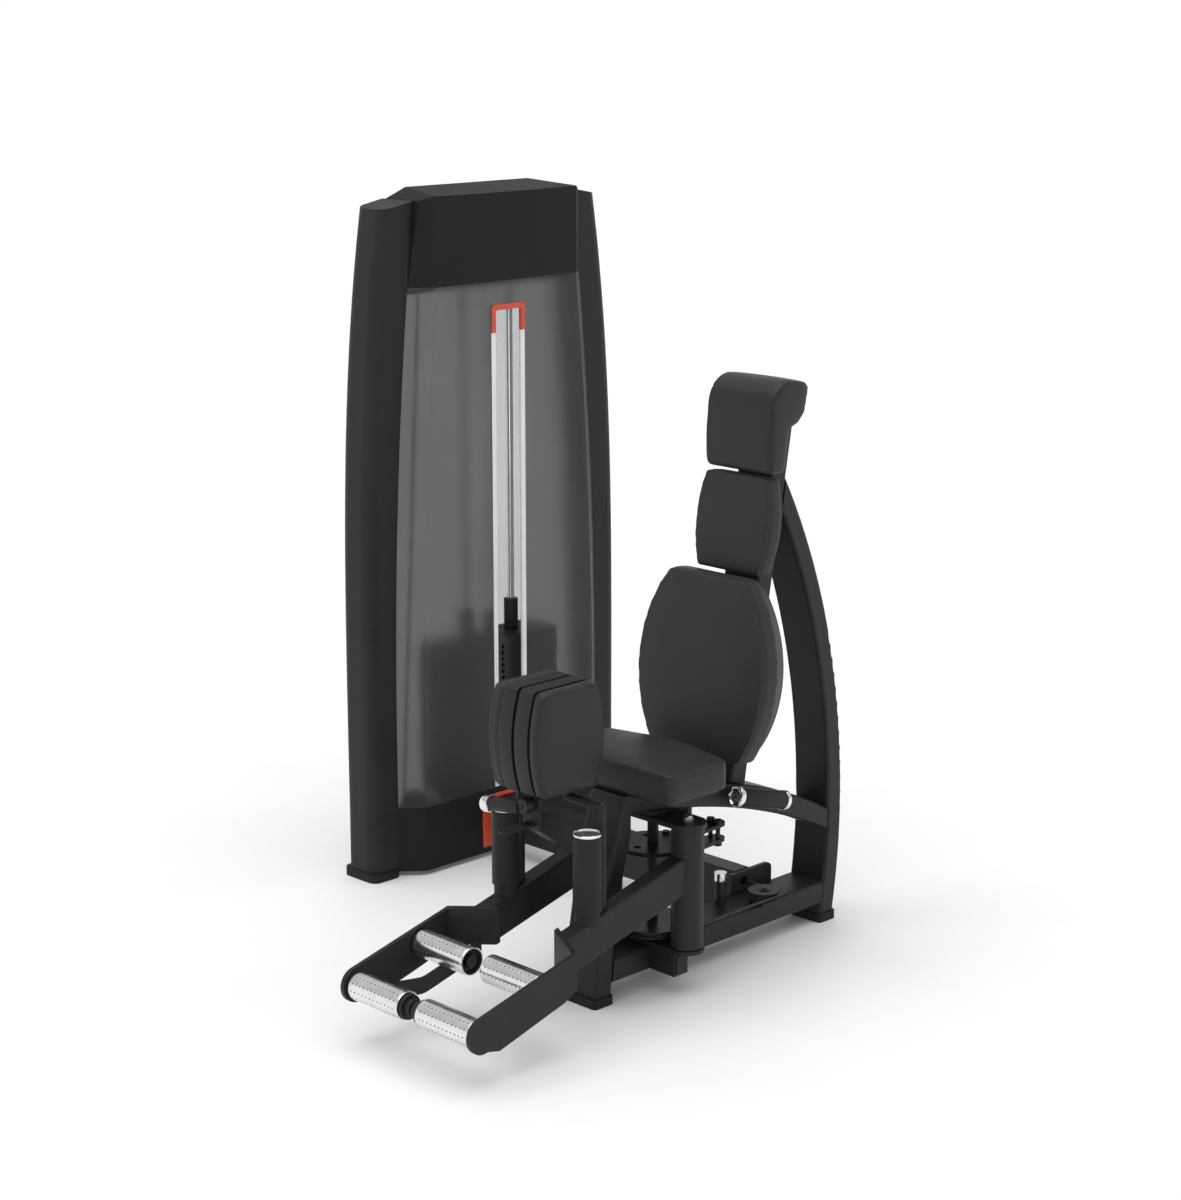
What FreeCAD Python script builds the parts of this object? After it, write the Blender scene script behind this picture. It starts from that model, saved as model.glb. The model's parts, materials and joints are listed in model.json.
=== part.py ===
import FreeCAD, Part
import math
import os
import re
from FreeCAD import Placement, Rotation, Vector

# Hip abductor machine: seat frame with two swinging leg arms, linked by a cable to a weight tower.
# Machine coordinates: x = 0 on the seat's centre plane, y = 0 at the front foot, z = 0 on the floor.
# +X is the seated user's left, -Y is the way the user faces, and the tower stands at -X.

doc = FreeCAD.newDocument("hip_abductor_machine")
sheet = doc.addObject("Spreadsheet::Sheet", "dims")

DRIVING = {
    "origin_x": 393.5, "origin_y": -263.75,
    "frame_half": 50, "wall": 3, "edge_round": 8,
    "beam_low": 44, "beam_top": 97,
    "foot_height": 20,
    "plate": 8, "plate_top": 105, "upper_plate_low": 374,
    "pivot_x": 120, "pivot_y": 210, "pivot_outer": 35, "pivot_bore": 15.05, "pin_radius": 15,
    "arm_half": 20, "arm_height": 82, "arm_slope": 0.252, "arm_mark_y": 114, "arm_mark_z": 295.6,
    "arm_front": -175,
    "grip_y": -88, "leg_y": -46, "grip_radius": 30, "grip_top": 424, "grip_low": 262,
    "foot_plate_in": 183, "foot_plate_out": 193, "foot_y": -445, "foot_z": 118, "foot_end": 37,
    "rear_roller_y": -271, "rear_roller_z": 163, "roller_radius": 30, "roller_in": 27, "roller_out": 180,
    "axle_radius": 8, "axle_bore": 8.05,
    "pad_gap": 4, "pad_shell": 38, "pad_cushion": 33,
    "tower_mid": 591.5, "tower_front": -867, "tower_back": -975, "tower_foot": 20,
    "shield_low": 172, "shield_top": 1411, "tower_top": 1632,
    "panel_out": 43, "panel_bow": 1, "panel_front": -824, "panel_skin": 4,
    "slot_low": 534, "slot_high": 643, "slot_top": 1357,
    "rod_x": -905, "rod_offset": 76, "rod_radius": 8.5, "rod_bore": 8.55,
    "stack_low": 164, "plate_pitch": 15.5, "plate_gap": 0.3, "plate_count": 24, "lifted_count": 10,
    "pull_x": -20, "pull_y": 470, "lever_z": 472, "axle_pin": 6, "axle_pin_bore": 6.05,
    "plate_long": 360, "plate_deep": 104, "stem_radius": 12,
    "cable_radius": 3, "pulley_radius": 32, "cable_z": 120, "channel_y": 572,
    "side_run_y": 385, "low_pulley_y": 340, "pulley_high": 1500, "drum_radius": 80, "disc_y": 230,
}
for row, (alias, number) in enumerate(DRIVING.items(), start=1):
    sheet.set(f"A{row}", alias)
    sheet.set(f"B{row}", str(number))
    sheet.setAlias(f"B{row}", alias)
doc.recompute()


def size(alias):
    """The value that the sheet holds for one driving dimension."""
    return float(sheet.get(alias))


def bind(item, **formulas):
    """Ties properties to formulas in the sheet's words; a double underscore stands for a dot."""
    for prop, formula in formulas.items():
        item.setExpression(prop.replace("__", "."), re.sub(r"[a-z]\w*", r"dims.\g<0>", str(formula)))


def place(item, x="0", y="0", z="0"):
    """Puts an object at a point of machine coordinates."""
    bind(item, Placement__Base__x=f"origin_x + ({x})", Placement__Base__y=f"origin_y + ({y})",
         Placement__Base__z=f"({z})")
    return item


def box(label, x, y, z):
    """A block between pairs of formulas."""
    item = doc.addObject("Part::Box", label)
    bind(item, Length=f"({x[1]}) - ({x[0]})", Width=f"({y[1]}) - ({y[0]})", Height=f"({z[1]}) - ({z[0]})")
    return place(item, x[0], y[0], z[0])


TURN = {"z": Rotation(), "x": Rotation(Vector(0, 1, 0), 90), "y": Rotation(Vector(1, 0, 0), -90)}


def rod(label, radius, length, at, axis="z"):
    """A cylinder from a point along +X, +Y or +Z."""
    item = doc.addObject("Part::Cylinder", label)
    item.Placement = Placement(Vector(), TURN[axis])
    bind(item, Radius=radius, Height=length)
    return place(item, *at)


def arc_middle(start, end, radius, side):
    """The point half way along an arc of the given radius; side +1 bulges to the left of the chord."""
    dx, dy = end[0] - start[0], end[1] - start[1]
    chord = math.hypot(dx, dy)
    rise = radius - math.sqrt(max(0.0, radius ** 2 - chord ** 2 / 4))
    return ((start[0] + end[0]) / 2 - side * rise * dy / chord,
            (start[1] + end[1]) / 2 + side * rise * dx / chord)


def draw(sketch, outline):
    """Adds a closed outline: points (u, v), or (u, v, radius, side) for an arc that ends there.

    An outline whose last stretch is an arc repeats its first point at the end.
    """
    if tuple(outline[-1][:2]) == tuple(outline[0][:2]):
        outline = [outline[-1]] + list(outline[1:-1])
    count = len(outline)
    for index in range(count):
        start, end = outline[index], outline[(index + 1) % count]
        first, last = Vector(start[0], start[1], 0), Vector(end[0], end[1], 0)
        if len(end) == 4:
            middle = arc_middle(start, end, end[2], end[3])
            sketch.addGeometry(Part.Arc(first, Vector(middle[0], middle[1], 0), last))
        else:
            sketch.addGeometry(Part.LineSegment(first, last))


def profile(label, plane, outlines, low, length, at=("0", "0", "0"), taper=0):
    """A body padded from outlines on the XY, YZ or XZ plane, from low, along +Z, +X or -Y."""
    body = doc.addObject("PartDesign::Body", label)
    sketch = body.newObject("Sketcher::SketchObject", label + "_outline")
    for feature in body.Origin.OriginFeatures:
        if feature.Role == plane + "_Plane":
            sketch.AttachmentSupport = [(feature, "")]
    sketch.MapMode = "FlatFace"
    bind(sketch, AttachmentOffset__Base__z=low)
    for outline in outlines:
        draw(sketch, outline)
    pad = body.newObject("PartDesign::Pad", label + "_pad")
    pad.Profile = sketch
    bind(pad, Length=length)
    if taper:
        pad.TaperAngle = taper
    body.Tip = pad
    place(body, *at)
    return body


def side_profile(label, outline, low, high):
    """A body with its outline in the YZ plane, between two x formulas."""
    return profile(label, "YZ", [outline], low, f"({high}) - ({low})")


def plan_profile(label, outline, low, high):
    """A body with its outline in the XY plane, between two z formulas."""
    return profile(label, "XY", [outline], low, f"({high}) - ({low})")


def cut(label, base, tool):
    """Base minus tool."""
    item = doc.addObject("Part::Cut", label)
    item.Base, item.Tool = base, tool
    return item


def fuse(label, base, tool):
    """Two solids joined into one."""
    item = doc.addObject("Part::Fuse", label)
    item.Base, item.Tool = base, tool
    return item


def common(label, base, tool):
    """What two solids share."""
    item = doc.addObject("Part::Common", label)
    item.Base, item.Tool = base, tool
    return item


def group(label, *items):
    """Separate solids that share one node."""
    item = doc.addObject("Part::Compound", label)
    item.Links = list(items)
    return item


def rounded(label, base, radius, chosen):
    """Fillets the edges that the test picks."""
    doc.recompute()
    item = doc.addObject("Part::Fillet", label)
    item.Base = base
    item.Edges = [(number, radius, radius) for number, edge in enumerate(base.Shape.Edges, start=1)
                  if chosen(edge)]
    return item


def long_edges(half, shortest):
    """Picks edges that run along the sides of a tube whose sides lie at x = -half and x = half."""
    def test(edge):
        ends = [vertex.Point.x - size("origin_x") for vertex in edge.Vertexes]
        on_side = all(abs(abs(value) - half) < 0.01 for value in ends)
        return on_side and abs(ends[0] - ends[-1]) < 0.01 and edge.Length > shortest
    return test


def curved_tube(label, outer, inner):
    """A rectangular tube, 2 x frame_half wide, from an outer side outline and an inner one."""
    solid = side_profile(label + "_solid", outer, "-frame_half", "frame_half")
    skin = rounded(label + "_skin", solid, size("edge_round"), long_edges(size("frame_half"), 90))
    core = side_profile(label + "_core", inner, "wall - frame_half", "frame_half - wall")
    return cut(label, skin, core)


def circle_y(centre_y, centre_z, radius, z, side):
    """Where a large circle in the YZ plane is at a height; side -1 is its front half."""
    return centre_y + side * math.sqrt(radius ** 2 - (z - centre_z) ** 2)


def circle_z(centre_y, centre_z, radius, y):
    """The upper height of a large circle in the YZ plane at a depth."""
    return centre_z + math.sqrt(radius ** 2 - (y - centre_y) ** 2)


nodes = []


def node(item):
    """Marks an object as a finished sub-part."""
    nodes.append(item)
    return item


# ---------------------------------------------------------------- seat frame
FRONT = (1963, -146, 1963)
FRONT_REAR = (1548, -67, 1495)
UPRIGHT = (-764, 274, 1517)
UPRIGHT_REAR = (-729, 276, 1531)
ARCH_LOW = (-37, -1353, 1761)
ARCH_TOP = (74, -952, 1399)
POST_SLOPE = 0.1775
SEAT_START = 110
POST_KNEE = 341.8
WALL = size("wall")
BEAM_LOW, BEAM_TOP = size("beam_low"), size("beam_top")
FOOT = size("foot_height")


def post_front(z):
    """The leaning backrest post's front face at a height."""
    return 428 + POST_SLOPE * (z - 437)


def post_rear(z):
    """The leaning backrest post's rear face at a height."""
    return 471 + POST_SLOPE * (z - 391)


def front_post():
    """A curved tube whose upper rear is cut flat where the seat tube starts."""
    top = circle_z(*ARCH_TOP, SEAT_START)

    def front(z, inset):
        return circle_y(*FRONT, z, -1) + inset

    def rear(z, inset):
        return circle_y(*FRONT_REAR, z, -1) - inset
    outer = [(front(FOOT, 0), FOOT), (front(top, 0), top, FRONT[2], 1), (rear(top, 0), top),
             (rear(FOOT, 0), FOOT, FRONT_REAR[2], -1)]
    solid = side_profile("front_post_solid", outer, "-frame_half", "frame_half")
    skin = rounded("front_post_skin", solid, size("edge_round"), long_edges(size("frame_half"), 90))
    flat = box("front_post_flat", ("-60", "60"), (str(SEAT_START), "200"), ("300", "480"))
    low, high = FOOT - 1, top - WALL
    core = [(front(low, WALL), low), (front(high, WALL), high, FRONT[2], 1), (SEAT_START - WALL, high),
            (SEAT_START - WALL, POST_KNEE), (rear(low, WALL), low, FRONT_REAR[2], -1)]
    inner = side_profile("front_post_core", core, "wall - frame_half", "frame_half - wall")
    node(cut("front_post", cut("front_post_trimmed", skin, flat), inner))


def base_beam():
    def outline(inset, reach):
        low, top = BEAM_LOW + inset, BEAM_TOP - inset
        return [(circle_y(*FRONT_REAR, low, -1) - reach, low),
                (circle_y(*UPRIGHT, low, 1) + reach, low), (circle_y(*UPRIGHT, top, 1) + reach, top),
                (circle_y(*FRONT_REAR, top, -1) - reach, top)]
    node(curved_tube("base_beam", outline(0, 0), outline(WALL, 1)))


def seat_tube():
    def outline(inset, reach):
        start, end = SEAT_START - reach, 752 + reach
        return [(start, circle_z(*ARCH_LOW, start) + inset),
                (end, circle_z(*ARCH_LOW, end) + inset, ARCH_LOW[2], 1),
                (end, circle_z(*ARCH_TOP, end) - inset),
                (start, circle_z(*ARCH_TOP, start) - inset, ARCH_TOP[2], -1)]
    node(curved_tube("seat_tube", outline(0, 0), outline(WALL, 1)))


def rear_upright():
    def outline(inset, low, reach):
        return [(circle_y(*UPRIGHT, low, 1) + inset, low), (circle_y(*UPRIGHT_REAR, low, 1) - inset, low),
                (589.4 - inset - reach, 1055 - inset, UPRIGHT_REAR[2], -1),
                (576.9 + inset - reach, 985 + inset)]
    outer = outline(0, FOOT, 0)
    outer[0] = outer[0] + (UPRIGHT[2], 1)
    inner = outline(WALL, FOOT - 1, 0.5)
    inner[0] = inner[0] + (UPRIGHT[2], 1)
    node(curved_tube("rear_upright", outer, inner))


def backrest_post():
    def outline(inset, low_front, low_rear, top):
        return [(post_front(low_front) + inset, low_front), (post_rear(low_rear) - inset, low_rear),
                (post_rear(top) - inset, top), (post_front(top) + inset, top)]
    outer = outline(0, 404.6, 391.4, 1165)
    node(curved_tube("backrest_post", outer, outline(WALL, 420, 400, 1162)))


def feet():
    def pad(label, y, radius):
        low = box(label + "_block", ("-frame_half - 4", "frame_half + 4"), y, ("0", "foot_height"))
        return rounded(label, low, radius, lambda edge: abs(edge.tangentAt(0).z) > 0.9)
    pads = [pad("front_foot", ("0", "58"), 9), pad("rear_foot", ("728", "785"), 9)]
    for name, y in (("tower_front_foot", ("175", "264")), ("tower_rear_foot", ("919", "1008"))):
        block = box(name + "_block", ("tower_back - 5", "tower_front + 5"), y, ("0", "tower_foot"))
        pads.append(rounded(name, block, 22, lambda edge: abs(edge.tangentAt(0).z) > 0.9))
    node(group("rubber_feet", *pads))


def pivot_frame():
    stubs = []
    for side, x in (("left", ("frame_half", "114")), ("right", ("-114", "-frame_half"))):
        stub = box(side + "_stub_block", x, ("171", "215"), ("beam_low", "beam_top"))
        stubs.append(rounded(side + "_stub", stub, 5, lambda edge: abs(edge.tangentAt(0).x) > 0.9))
    for side, start in (("left", "114"), ("right", "-119")):
        stubs.append(box(side + "_plug", (start, start + " + 5"), ("172", "214"), ("beam_low + 1", "beam_top - 1")))
        stubs.append(box(side + "_rib", ("119" if side == "left" else "-122", "122" if side == "left" else "-119"),
                         ("178", "208"), ("beam_low + 8", "beam_top - 8")))
    node(group("pivot_cross_tube", *stubs))

    pivot_x, pivot_y = size("pivot_x"), size("pivot_y")

    def plate(name, radius, low, high):
        outline = [(-pivot_x, pivot_y - radius), (pivot_x, pivot_y - radius),
                   (pivot_x, pivot_y + radius, radius, -1),
                   (-pivot_x, pivot_y + radius), (-pivot_x, pivot_y - radius, radius, -1)]
        return plan_profile(name, outline, low, high)
    lower = plate("lower_plate", 38, "beam_top", "plate_top")
    upper = plate("upper_plate", 40, "upper_plate_low", "upper_plate_low + 10")
    web = side_profile("upper_web", [(172, 384), (248, 384), (248, circle_z(*ARCH_LOW, 248)),
                                     (172, circle_z(*ARCH_LOW, 172), ARCH_LOW[2], 1)], "-45", "45")
    node(group("pivot_plates", lower, upper, web))

    pins = []
    for side, sign in (("left", ""), ("right", "-")):
        at = sign + "pivot_x"
        pins.append(rod(side + "_pin", "pin_radius", "upper_plate_low - plate_top", (at, "pivot_y", "plate_top")))
        pins.append(rod(side + "_bolt_head", "12", "8", (at, "pivot_y", "upper_plate_low + 10")))
    pins.append(rod("disc_low_pin", "6", "18", ("0", "disc_y", "plate_top")))
    pins.append(rod("disc_high_pin", "6", "18", ("0", "disc_y", "upper_plate_low - 18")))
    node(group("pivot_pins", *pins))


def small_brackets():
    plates = []
    for number, low in enumerate((260, 295), start=1):
        outline = [(-28, 312), (28, 312), (20, 430), (-20, 430, 20, -1)]
        plates.append(plan_profile(f"stop_plate_{number}", outline, str(low), str(low + 8)))
    plates.append(box("stop_spacer", ("-24", "24"), ("314", "326"), ("268", "295")))
    plates.append(box("stop_neck", ("-24", "24"), ("314", "326"), ("303", "369")))
    for number, x in enumerate((-11, 11), start=1):
        plates.append(rod(f"stop_bolt_{number}", "5", "27", (str(x), "425", "268")))
        plates.append(rod(f"stop_bolt_head_{number}", "9", "8", (str(x), "425", "303")))
        plates.append(rod(f"stop_nut_{number}", "9", "8", (str(x), "425", "252")))
    housing = rod("pin_housing_block", "13", "53", ("pull_x", "pull_y", "beam_top"))
    plates.append(cut("pin_housing", housing, rod("pin_housing_bore", "6.05", "53", ("pull_x", "pull_y", "beam_top"))))
    node(group("stop_bracket", *plates))
    pin = rod("pull_pin_stem", "6", "56", ("pull_x", "pull_y", "beam_top + 2"))
    knob = rod("pull_pin_knob", "14", "18", ("pull_x", "pull_y", "beam_top + 55"))
    node(fuse("pull_pin", pin, knob))

    strap = [(-130, 420), (-130, 488), (-124, 488), (-124, 423), (circle_y(*FRONT, 306, -1), 306),
             (circle_y(*FRONT, 298, -1), 298)]
    tongue = [(-15, -200), (15, -200, 15, -1), (15, -130), (-15, -130)]
    lever_pin = rod("lever_pin", "4", "28", ("0", "-158", "lever_z"), "y")
    node(group("lever_bracket", side_profile("lever_strap", strap, "-24", "24"),
               plan_profile("lever_tongue", tongue, "428", "432"), lever_pin))


def range_lever():
    """A short round handle that turns on the lever pin and points away from the seat's left."""
    boss = rod("lever_boss", "16", "24", ("0", "-156", "lever_z"), "y")
    lean = Rotation(Vector(0, 0, 1), Vector(-0.987, 0, -0.16))
    handle = doc.addObject("Part::Cylinder", "lever_handle")
    handle.Placement = Placement(Vector(), lean)
    bind(handle, Radius="15", Height="100")
    place(handle, "-12", "-147", "lever_z - 2")
    tip = doc.addObject("Part::Cylinder", "lever_tip")
    tip.Placement = Placement(Vector(), lean)
    bind(tip, Radius="18", Height="20")
    place(tip, "-12 - 98.7", "-147", "lever_z - 18")
    whole = fuse("lever_whole", fuse("lever_and_boss", boss, handle), tip)
    node(cut("range_lever", whole, rod("lever_bore", "4.05", "40", ("0", "-170", "lever_z"), "y")))


def cable_channel():
    outer = box("channel_outer", ("panel_front + 1.2", "-frame_half"), ("545", "600"), ("beam_low", "145"))
    inner = box("channel_inner", ("panel_front", "-frame_half + 1"), ("549", "596"), ("beam_low + 4", "141"))
    skin = rounded("channel_skin", outer, 6, lambda edge: abs(edge.tangentAt(0).x) > 0.9)
    tube = cut("channel_tube", skin, inner)
    flange = side_profile("flange_outline", [(530, 97), (665, 97), (665, 128), (650, 143, 15, -1), (530, 143)],
                          "-frame_half", "-40")
    hole = rod("flange_hole", "10", "14", ("-52", "channel_y", "cable_z"), "x")
    base = box("beam_bracket", ("drum_radius - pulley_radius - 26", "drum_radius - pulley_radius + 14"),
               ("channel_y - pulley_radius - 20", "channel_y - pulley_radius + 20"), ("beam_top", "beam_top + 6"))
    at = ("drum_radius - pulley_radius", "channel_y - pulley_radius", "beam_top + 6")
    node(group("cable_channel", tube, cut("flange_plate", flange, hole), base,
               rod("beam_axle", "axle_pin", "30", at)))


# ---------------------------------------------------------------- seat and backrest
def seat():
    outline = [(-165, 92), (165, 92), (180, 107, 15, -1), (180, 255), (162, 274, 18, -1), (95, 290),
               (-95, 290, 320, -1), (-162, 274), (-180, 255, 18, -1), (-180, 107), (-165, 92, 15, -1)]
    node(plan_profile("seat_cushion", outline, "453.3", "519"))
    inner = [(-150, 104), (150, 104), (165, 119, 15, -1), (165, 245), (150, 260, 15, -1), (-150, 260),
             (-165, 245, 15, -1), (-165, 119), (-150, 104, 15, -1)]
    return plan_profile("seat_board", inner, "447", "453")


def barrel(low, high, half_low, half_middle, half_high):
    """A rounded outline: straight ends, bulging sides through the middle width."""
    def bulge(start, end, middle):
        chord = high - low
        rise = middle - (start + end) / 2
        return (chord ** 2 / 4 + rise ** 2) / (2 * rise)
    radius = bulge(half_low, half_high, half_middle)
    return [(-half_low, low), (half_low, low), (half_high, high, radius, -1), (-half_high, high),
            (-half_low, low, radius, -1)]


def back_slab(label, outline, y, z, tilt, depth, backwards=False, taper=0):
    """A slab that leans back; its outline plane passes through (y, z) and it grows forwards."""
    body = profile(label, "XZ", [outline], "0", str(depth), ("0", str(y), str(z)), taper)
    body.Placement = Placement(body.Placement.Base, Rotation(Vector(1, 0, 0), -tilt))
    if backwards:
        body.Tip.Reversed = True
    return place(body, "0", str(y), str(z))


def backrest(seat_board):
    post = side_profile("post_space", [(post_front(395) - 0.01, 395), (post_rear(395), 395),
                                       (post_rear(1300), 1300), (post_front(1300) - 0.01, 1300)],
                        "-frame_half", "frame_half")
    large = barrel(0, 394, 128, 182, 105)
    node(back_slab("back_cushion", large, 408, 470, 5, 56))
    shell = back_slab("back_board_block", barrel(8, 384, 118, 172, 95), 408.4, 470, 5, 42, True, -22)
    middle = barrel(-8, 202, 87, 105, 86)
    node(back_slab("middle_cushion", middle, 501, 866, 7.3, 48))
    middle_board = back_slab("middle_board_block", barrel(10, 192, 76, 92, 76), 501.4, 866, 7.3, 12, True)
    head_board = side_profile("head_board", [(537, 1096), (543, 1096), (555.5, 1166), (549.5, 1166)], "-60", "60")
    node(group("pad_boards", seat_board, cut("back_board", shell, post), cut("middle_board", middle_board, post),
               head_board))
    head = [(484.7, 1077), (532.4, 1077), (549, 1170), (573, 1178), (596, 1201), (608, 1256), (600, 1268),
            (548, 1277), (486, 1210, 66, -1), (480, 1140)]
    node(side_profile("head_cushion", head, "-96", "96"))


def seat_grips():
    start, end = (562, 341), (399, 387)
    dy, dz = end[0] - start[0], end[1] - start[1]
    length = math.hypot(dy, dz)
    lean = Rotation(Vector(0, 0, 1), Vector(0, dy / length, dz / length))
    bars, sleeves, caps = [], [], []
    for side, sign in (("left", 1), ("right", -1)):
        def tilted(name, radius, from_end, run):
            item = doc.addObject("Part::Cylinder", f"{side}_{name}")
            item.Radius, item.Height = radius, run
            point = Vector(sign * 84, start[0] + dy * from_end / length, start[1] + dz * from_end / length)
            item.Placement = Placement(point, lean)
            return place(item, str(point.x), str(round(point.y, 2)), str(round(point.z, 2)))
        sleeve = tilted("sleeve_block", 21, 12, length - 24)
        bore = tilted("sleeve_bore", 12, 11, length - 22)
        sleeves.append(cut(f"{side}_sleeve", sleeve, bore))
        bars.append(tilted("bar", 12, 4, length - 8))
        x = ("frame_half", "62.9") if sign > 0 else ("-62.9", "-frame_half")
        bars.append(box(f"{side}_bar_lug", x, ("440", "500"), ("345", "365")))
        caps.append(cut(f"{side}_end_cap", tilted("cap_block", 23, length - 12, 14),
                        tilted("cap_bore", 12, length - 13, 9)))
        caps.append(cut(f"{side}_ring", tilted("ring_block", 22.5, 0, 12), tilted("ring_bore", 12, 4, 9)))
    node(group("seat_grip_bars", *bars))
    node(group("seat_grip_sleeves", *sleeves))
    node(group("seat_grip_caps", *caps))


# ---------------------------------------------------------------- leg arms, one function for both sides
def arm_top(y):
    """The arm tube's upper face at a depth."""
    return size("arm_mark_z") + size("arm_slope") * (y - size("arm_mark_y"))


def arm(side, sign):
    pivot_x, pivot_y = size("pivot_x"), size("pivot_y")
    height, front = size("arm_height"), size("arm_front")

    def span(low, high):
        """x formulas for a stretch that is mirrored on the right side."""
        return (str(low), str(high)) if sign > 0 else (f"-({high})", f"-({low})")

    def at(x, y, z):
        return (x if sign > 0 else f"-({x})", y, z)

    def along(name, radius, low, high, y, z):
        x = span(low, high)
        return rod(f"{side}_{name}", radius, f"({x[1]}) - ({x[0]})", (x[0], y, z), "x")

    # pivot tube: outer tube, and a bush at each end that turns on the pivot pin
    axis = at("pivot_x", "pivot_y", "plate_top + 2")
    length = "upper_plate_low - plate_top - 4"
    outer = rod(f"{side}_pivot_outer", "pivot_outer", length, axis)
    inner = rod(f"{side}_pivot_inner", "pivot_outer - 4", length, axis)
    pieces = [cut(f"{side}_pivot_wall", outer, inner)]
    for name, z in (("low", "plate_top + 2"), ("high", "upper_plate_low - 32")):
        place_at = at("pivot_x", "pivot_y", z)
        bush = rod(f"{side}_bush_block_{name}", "pivot_outer - 4", "30", place_at)
        bore = rod(f"{side}_bush_bore_{name}", "pivot_bore", "30", place_at)
        pieces.append(cut(f"{side}_bush_{name}", bush, bore))
    node(group(f"{side}_pivot_tube", *pieces))

    # arm tube: a sloping rectangular tube that ends on the pivot tube
    def arm_outline(inset, y_low, y_high):
        return [(y_low, arm_top(y_low) - height + inset), (y_high, arm_top(y_high) - height + inset),
                (y_high, arm_top(y_high) - inset), (y_low, arm_top(y_low) - inset)]
    x = span("pivot_x - arm_half", "pivot_x + arm_half")
    solid = side_profile(f"{side}_arm_solid", arm_outline(0, front, pivot_y), *x)
    skin = rounded(f"{side}_arm_skin", solid, 5, lambda edge: edge.Length > 300)
    core_x = span("pivot_x - arm_half + wall", "pivot_x + arm_half - wall")
    core = side_profile(f"{side}_arm_core", arm_outline(WALL, front - 1, pivot_y + 1), *core_x)
    shell = cut(f"{side}_arm_shell", skin, core)
    around = rod(f"{side}_arm_saddle", "pivot_outer", "300", at("pivot_x", "pivot_y", "90"))
    ahead = [(sign * 60, -300), (sign * 240, -300), (sign * 240, -210.8), (sign * 60, -125.5)]
    butt = plan_profile(f"{side}_arm_butt", ahead, "100", "300")
    node(cut(f"{side}_arm_tube", cut(f"{side}_arm_open", shell, around), butt))

    # foot bracket: foot plate, jog plate and lower strap
    foot_y, foot_z, end = size("foot_y"), size("foot_z"), size("foot_end")
    plate_outline = [(-199, 137), (-199, 216), (-454, foot_z + end - 1), (-433, foot_z - end + 2, end, -1),
                     (-401, 76), (-224, 124)]
    foot_plate = side_profile(f"{side}_foot_plate", plate_outline, *span("foot_plate_in", "foot_plate_out"))
    rear_face = {x: -189 - 0.474 * (x - 193) for x in (60, 86, 193, 240)}
    jog_plan = [(sign * 193, -199), (sign * 193, rear_face[193]), (sign * 86, rear_face[86]),
                (sign * 86, rear_face[86] - 11), (sign * 183, -195.3), (sign * 183, -199)]
    jog_block = plan_profile(f"{side}_jog_block", jog_plan, "120", "260")
    jog_side = side_profile(f"{side}_jog_side", [(-199.5, 137), (-138, 153), (-138, 232), (-199.5, 216)],
                            *span("80", "195"))
    jog = common(f"{side}_jog_plate", jog_block, jog_side)
    strap_plan = [(sign * 124, -167.4), (sign * 124, -312), (sign * 130.4, -327.6, 22, -sign),
                  (sign * 183, -380.2), (sign * 183, -391.4), (sign * 124.8, -333.2),
                  (sign * 116, -312, 30, sign), (sign * 116, -163.6)]
    strap_block = plan_profile(f"{side}_strap_block", strap_plan, "70", "180")

    def strap_level(y, offset):
        """A level of the strap at y, measured from the arm's underside."""
        return (y, arm_top(y) - height + offset)
    strap_side = side_profile(f"{side}_strap_side", [
        (-400, 80), (-337, 80), strap_level(-160, -20), strap_level(-160, 13), strap_level(-400, 13)],
        *span("110", "190"))
    strap = common(f"{side}_strap", strap_block, strap_side)
    node(group(f"{side}_foot_bracket", foot_plate, jog, strap))

    # two rollers on axles that stand inwards from the foot plate: the front one ends in a rubber
    # bumper, the rear one in a collar sunk in the roller's end
    axles = [along("front_nose", "19", "3", "18", "foot_y", "foot_z")]
    for name, y, z, low, high, radius, sunk in (
            ("front", "foot_y", "foot_z", "18", "roller_in - 0.5", "26", "1"),
            ("rear", "rear_roller_y", "rear_roller_z", "roller_in + 1", "roller_in + 7.5", "14", "8")):
        axles.append(along(f"{name}_axle", "axle_radius", low, "foot_plate_in", y, z))
        collar = along(f"{name}_collar_block", radius, low, high, y, z)
        hole = along(f"{name}_collar_hole", "axle_radius", low, "roller_in + 8", y, z)
        axles.append(cut(f"{side}_{name}_collar", collar, hole))
        tube = along(f"{name}_roller_block", "roller_radius", "roller_in", "roller_out", y, z)
        space = along(f"{name}_roller_space", "roller_radius - 3", "roller_in + 10", "roller_out - 10", y, z)
        bore = along(f"{name}_roller_bore", "axle_bore", "roller_in - 1", "roller_out + 1", y, z)
        recess = along(f"{name}_roller_recess", "20", "roller_in", f"roller_in + {sunk}", y, z)
        hollow = cut(f"{side}_{name}_hollow", tube, space)
        node(cut(f"{side}_{name}_roller", cut(f"{side}_{name}_drilled", hollow, bore), recess))
    node(group(f"{side}_axles", *axles))

    # upright grip with its cap, seated on the sloping arm
    post = rod(f"{side}_grip_post", "grip_radius - 4", "grip_low - 225", at("pivot_x", "grip_y", "225"))
    seated = cut(f"{side}_grip_foot", post, side_profile(f"{side}_grip_slope", [
        (-140, 150), (-40, 150), (-40, arm_top(-40)), (-140, arm_top(-140))], *span("80", "160")))
    sleeve = rod(f"{side}_grip_sleeve", "grip_radius", "grip_top - grip_low", at("pivot_x", "grip_y", "grip_low"))
    cap = rod(f"{side}_grip_cap", "grip_radius", "6", at("pivot_x", "grip_y", "grip_top"))
    node(group(f"{side}_grip", seated, sleeve, cap))

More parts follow.
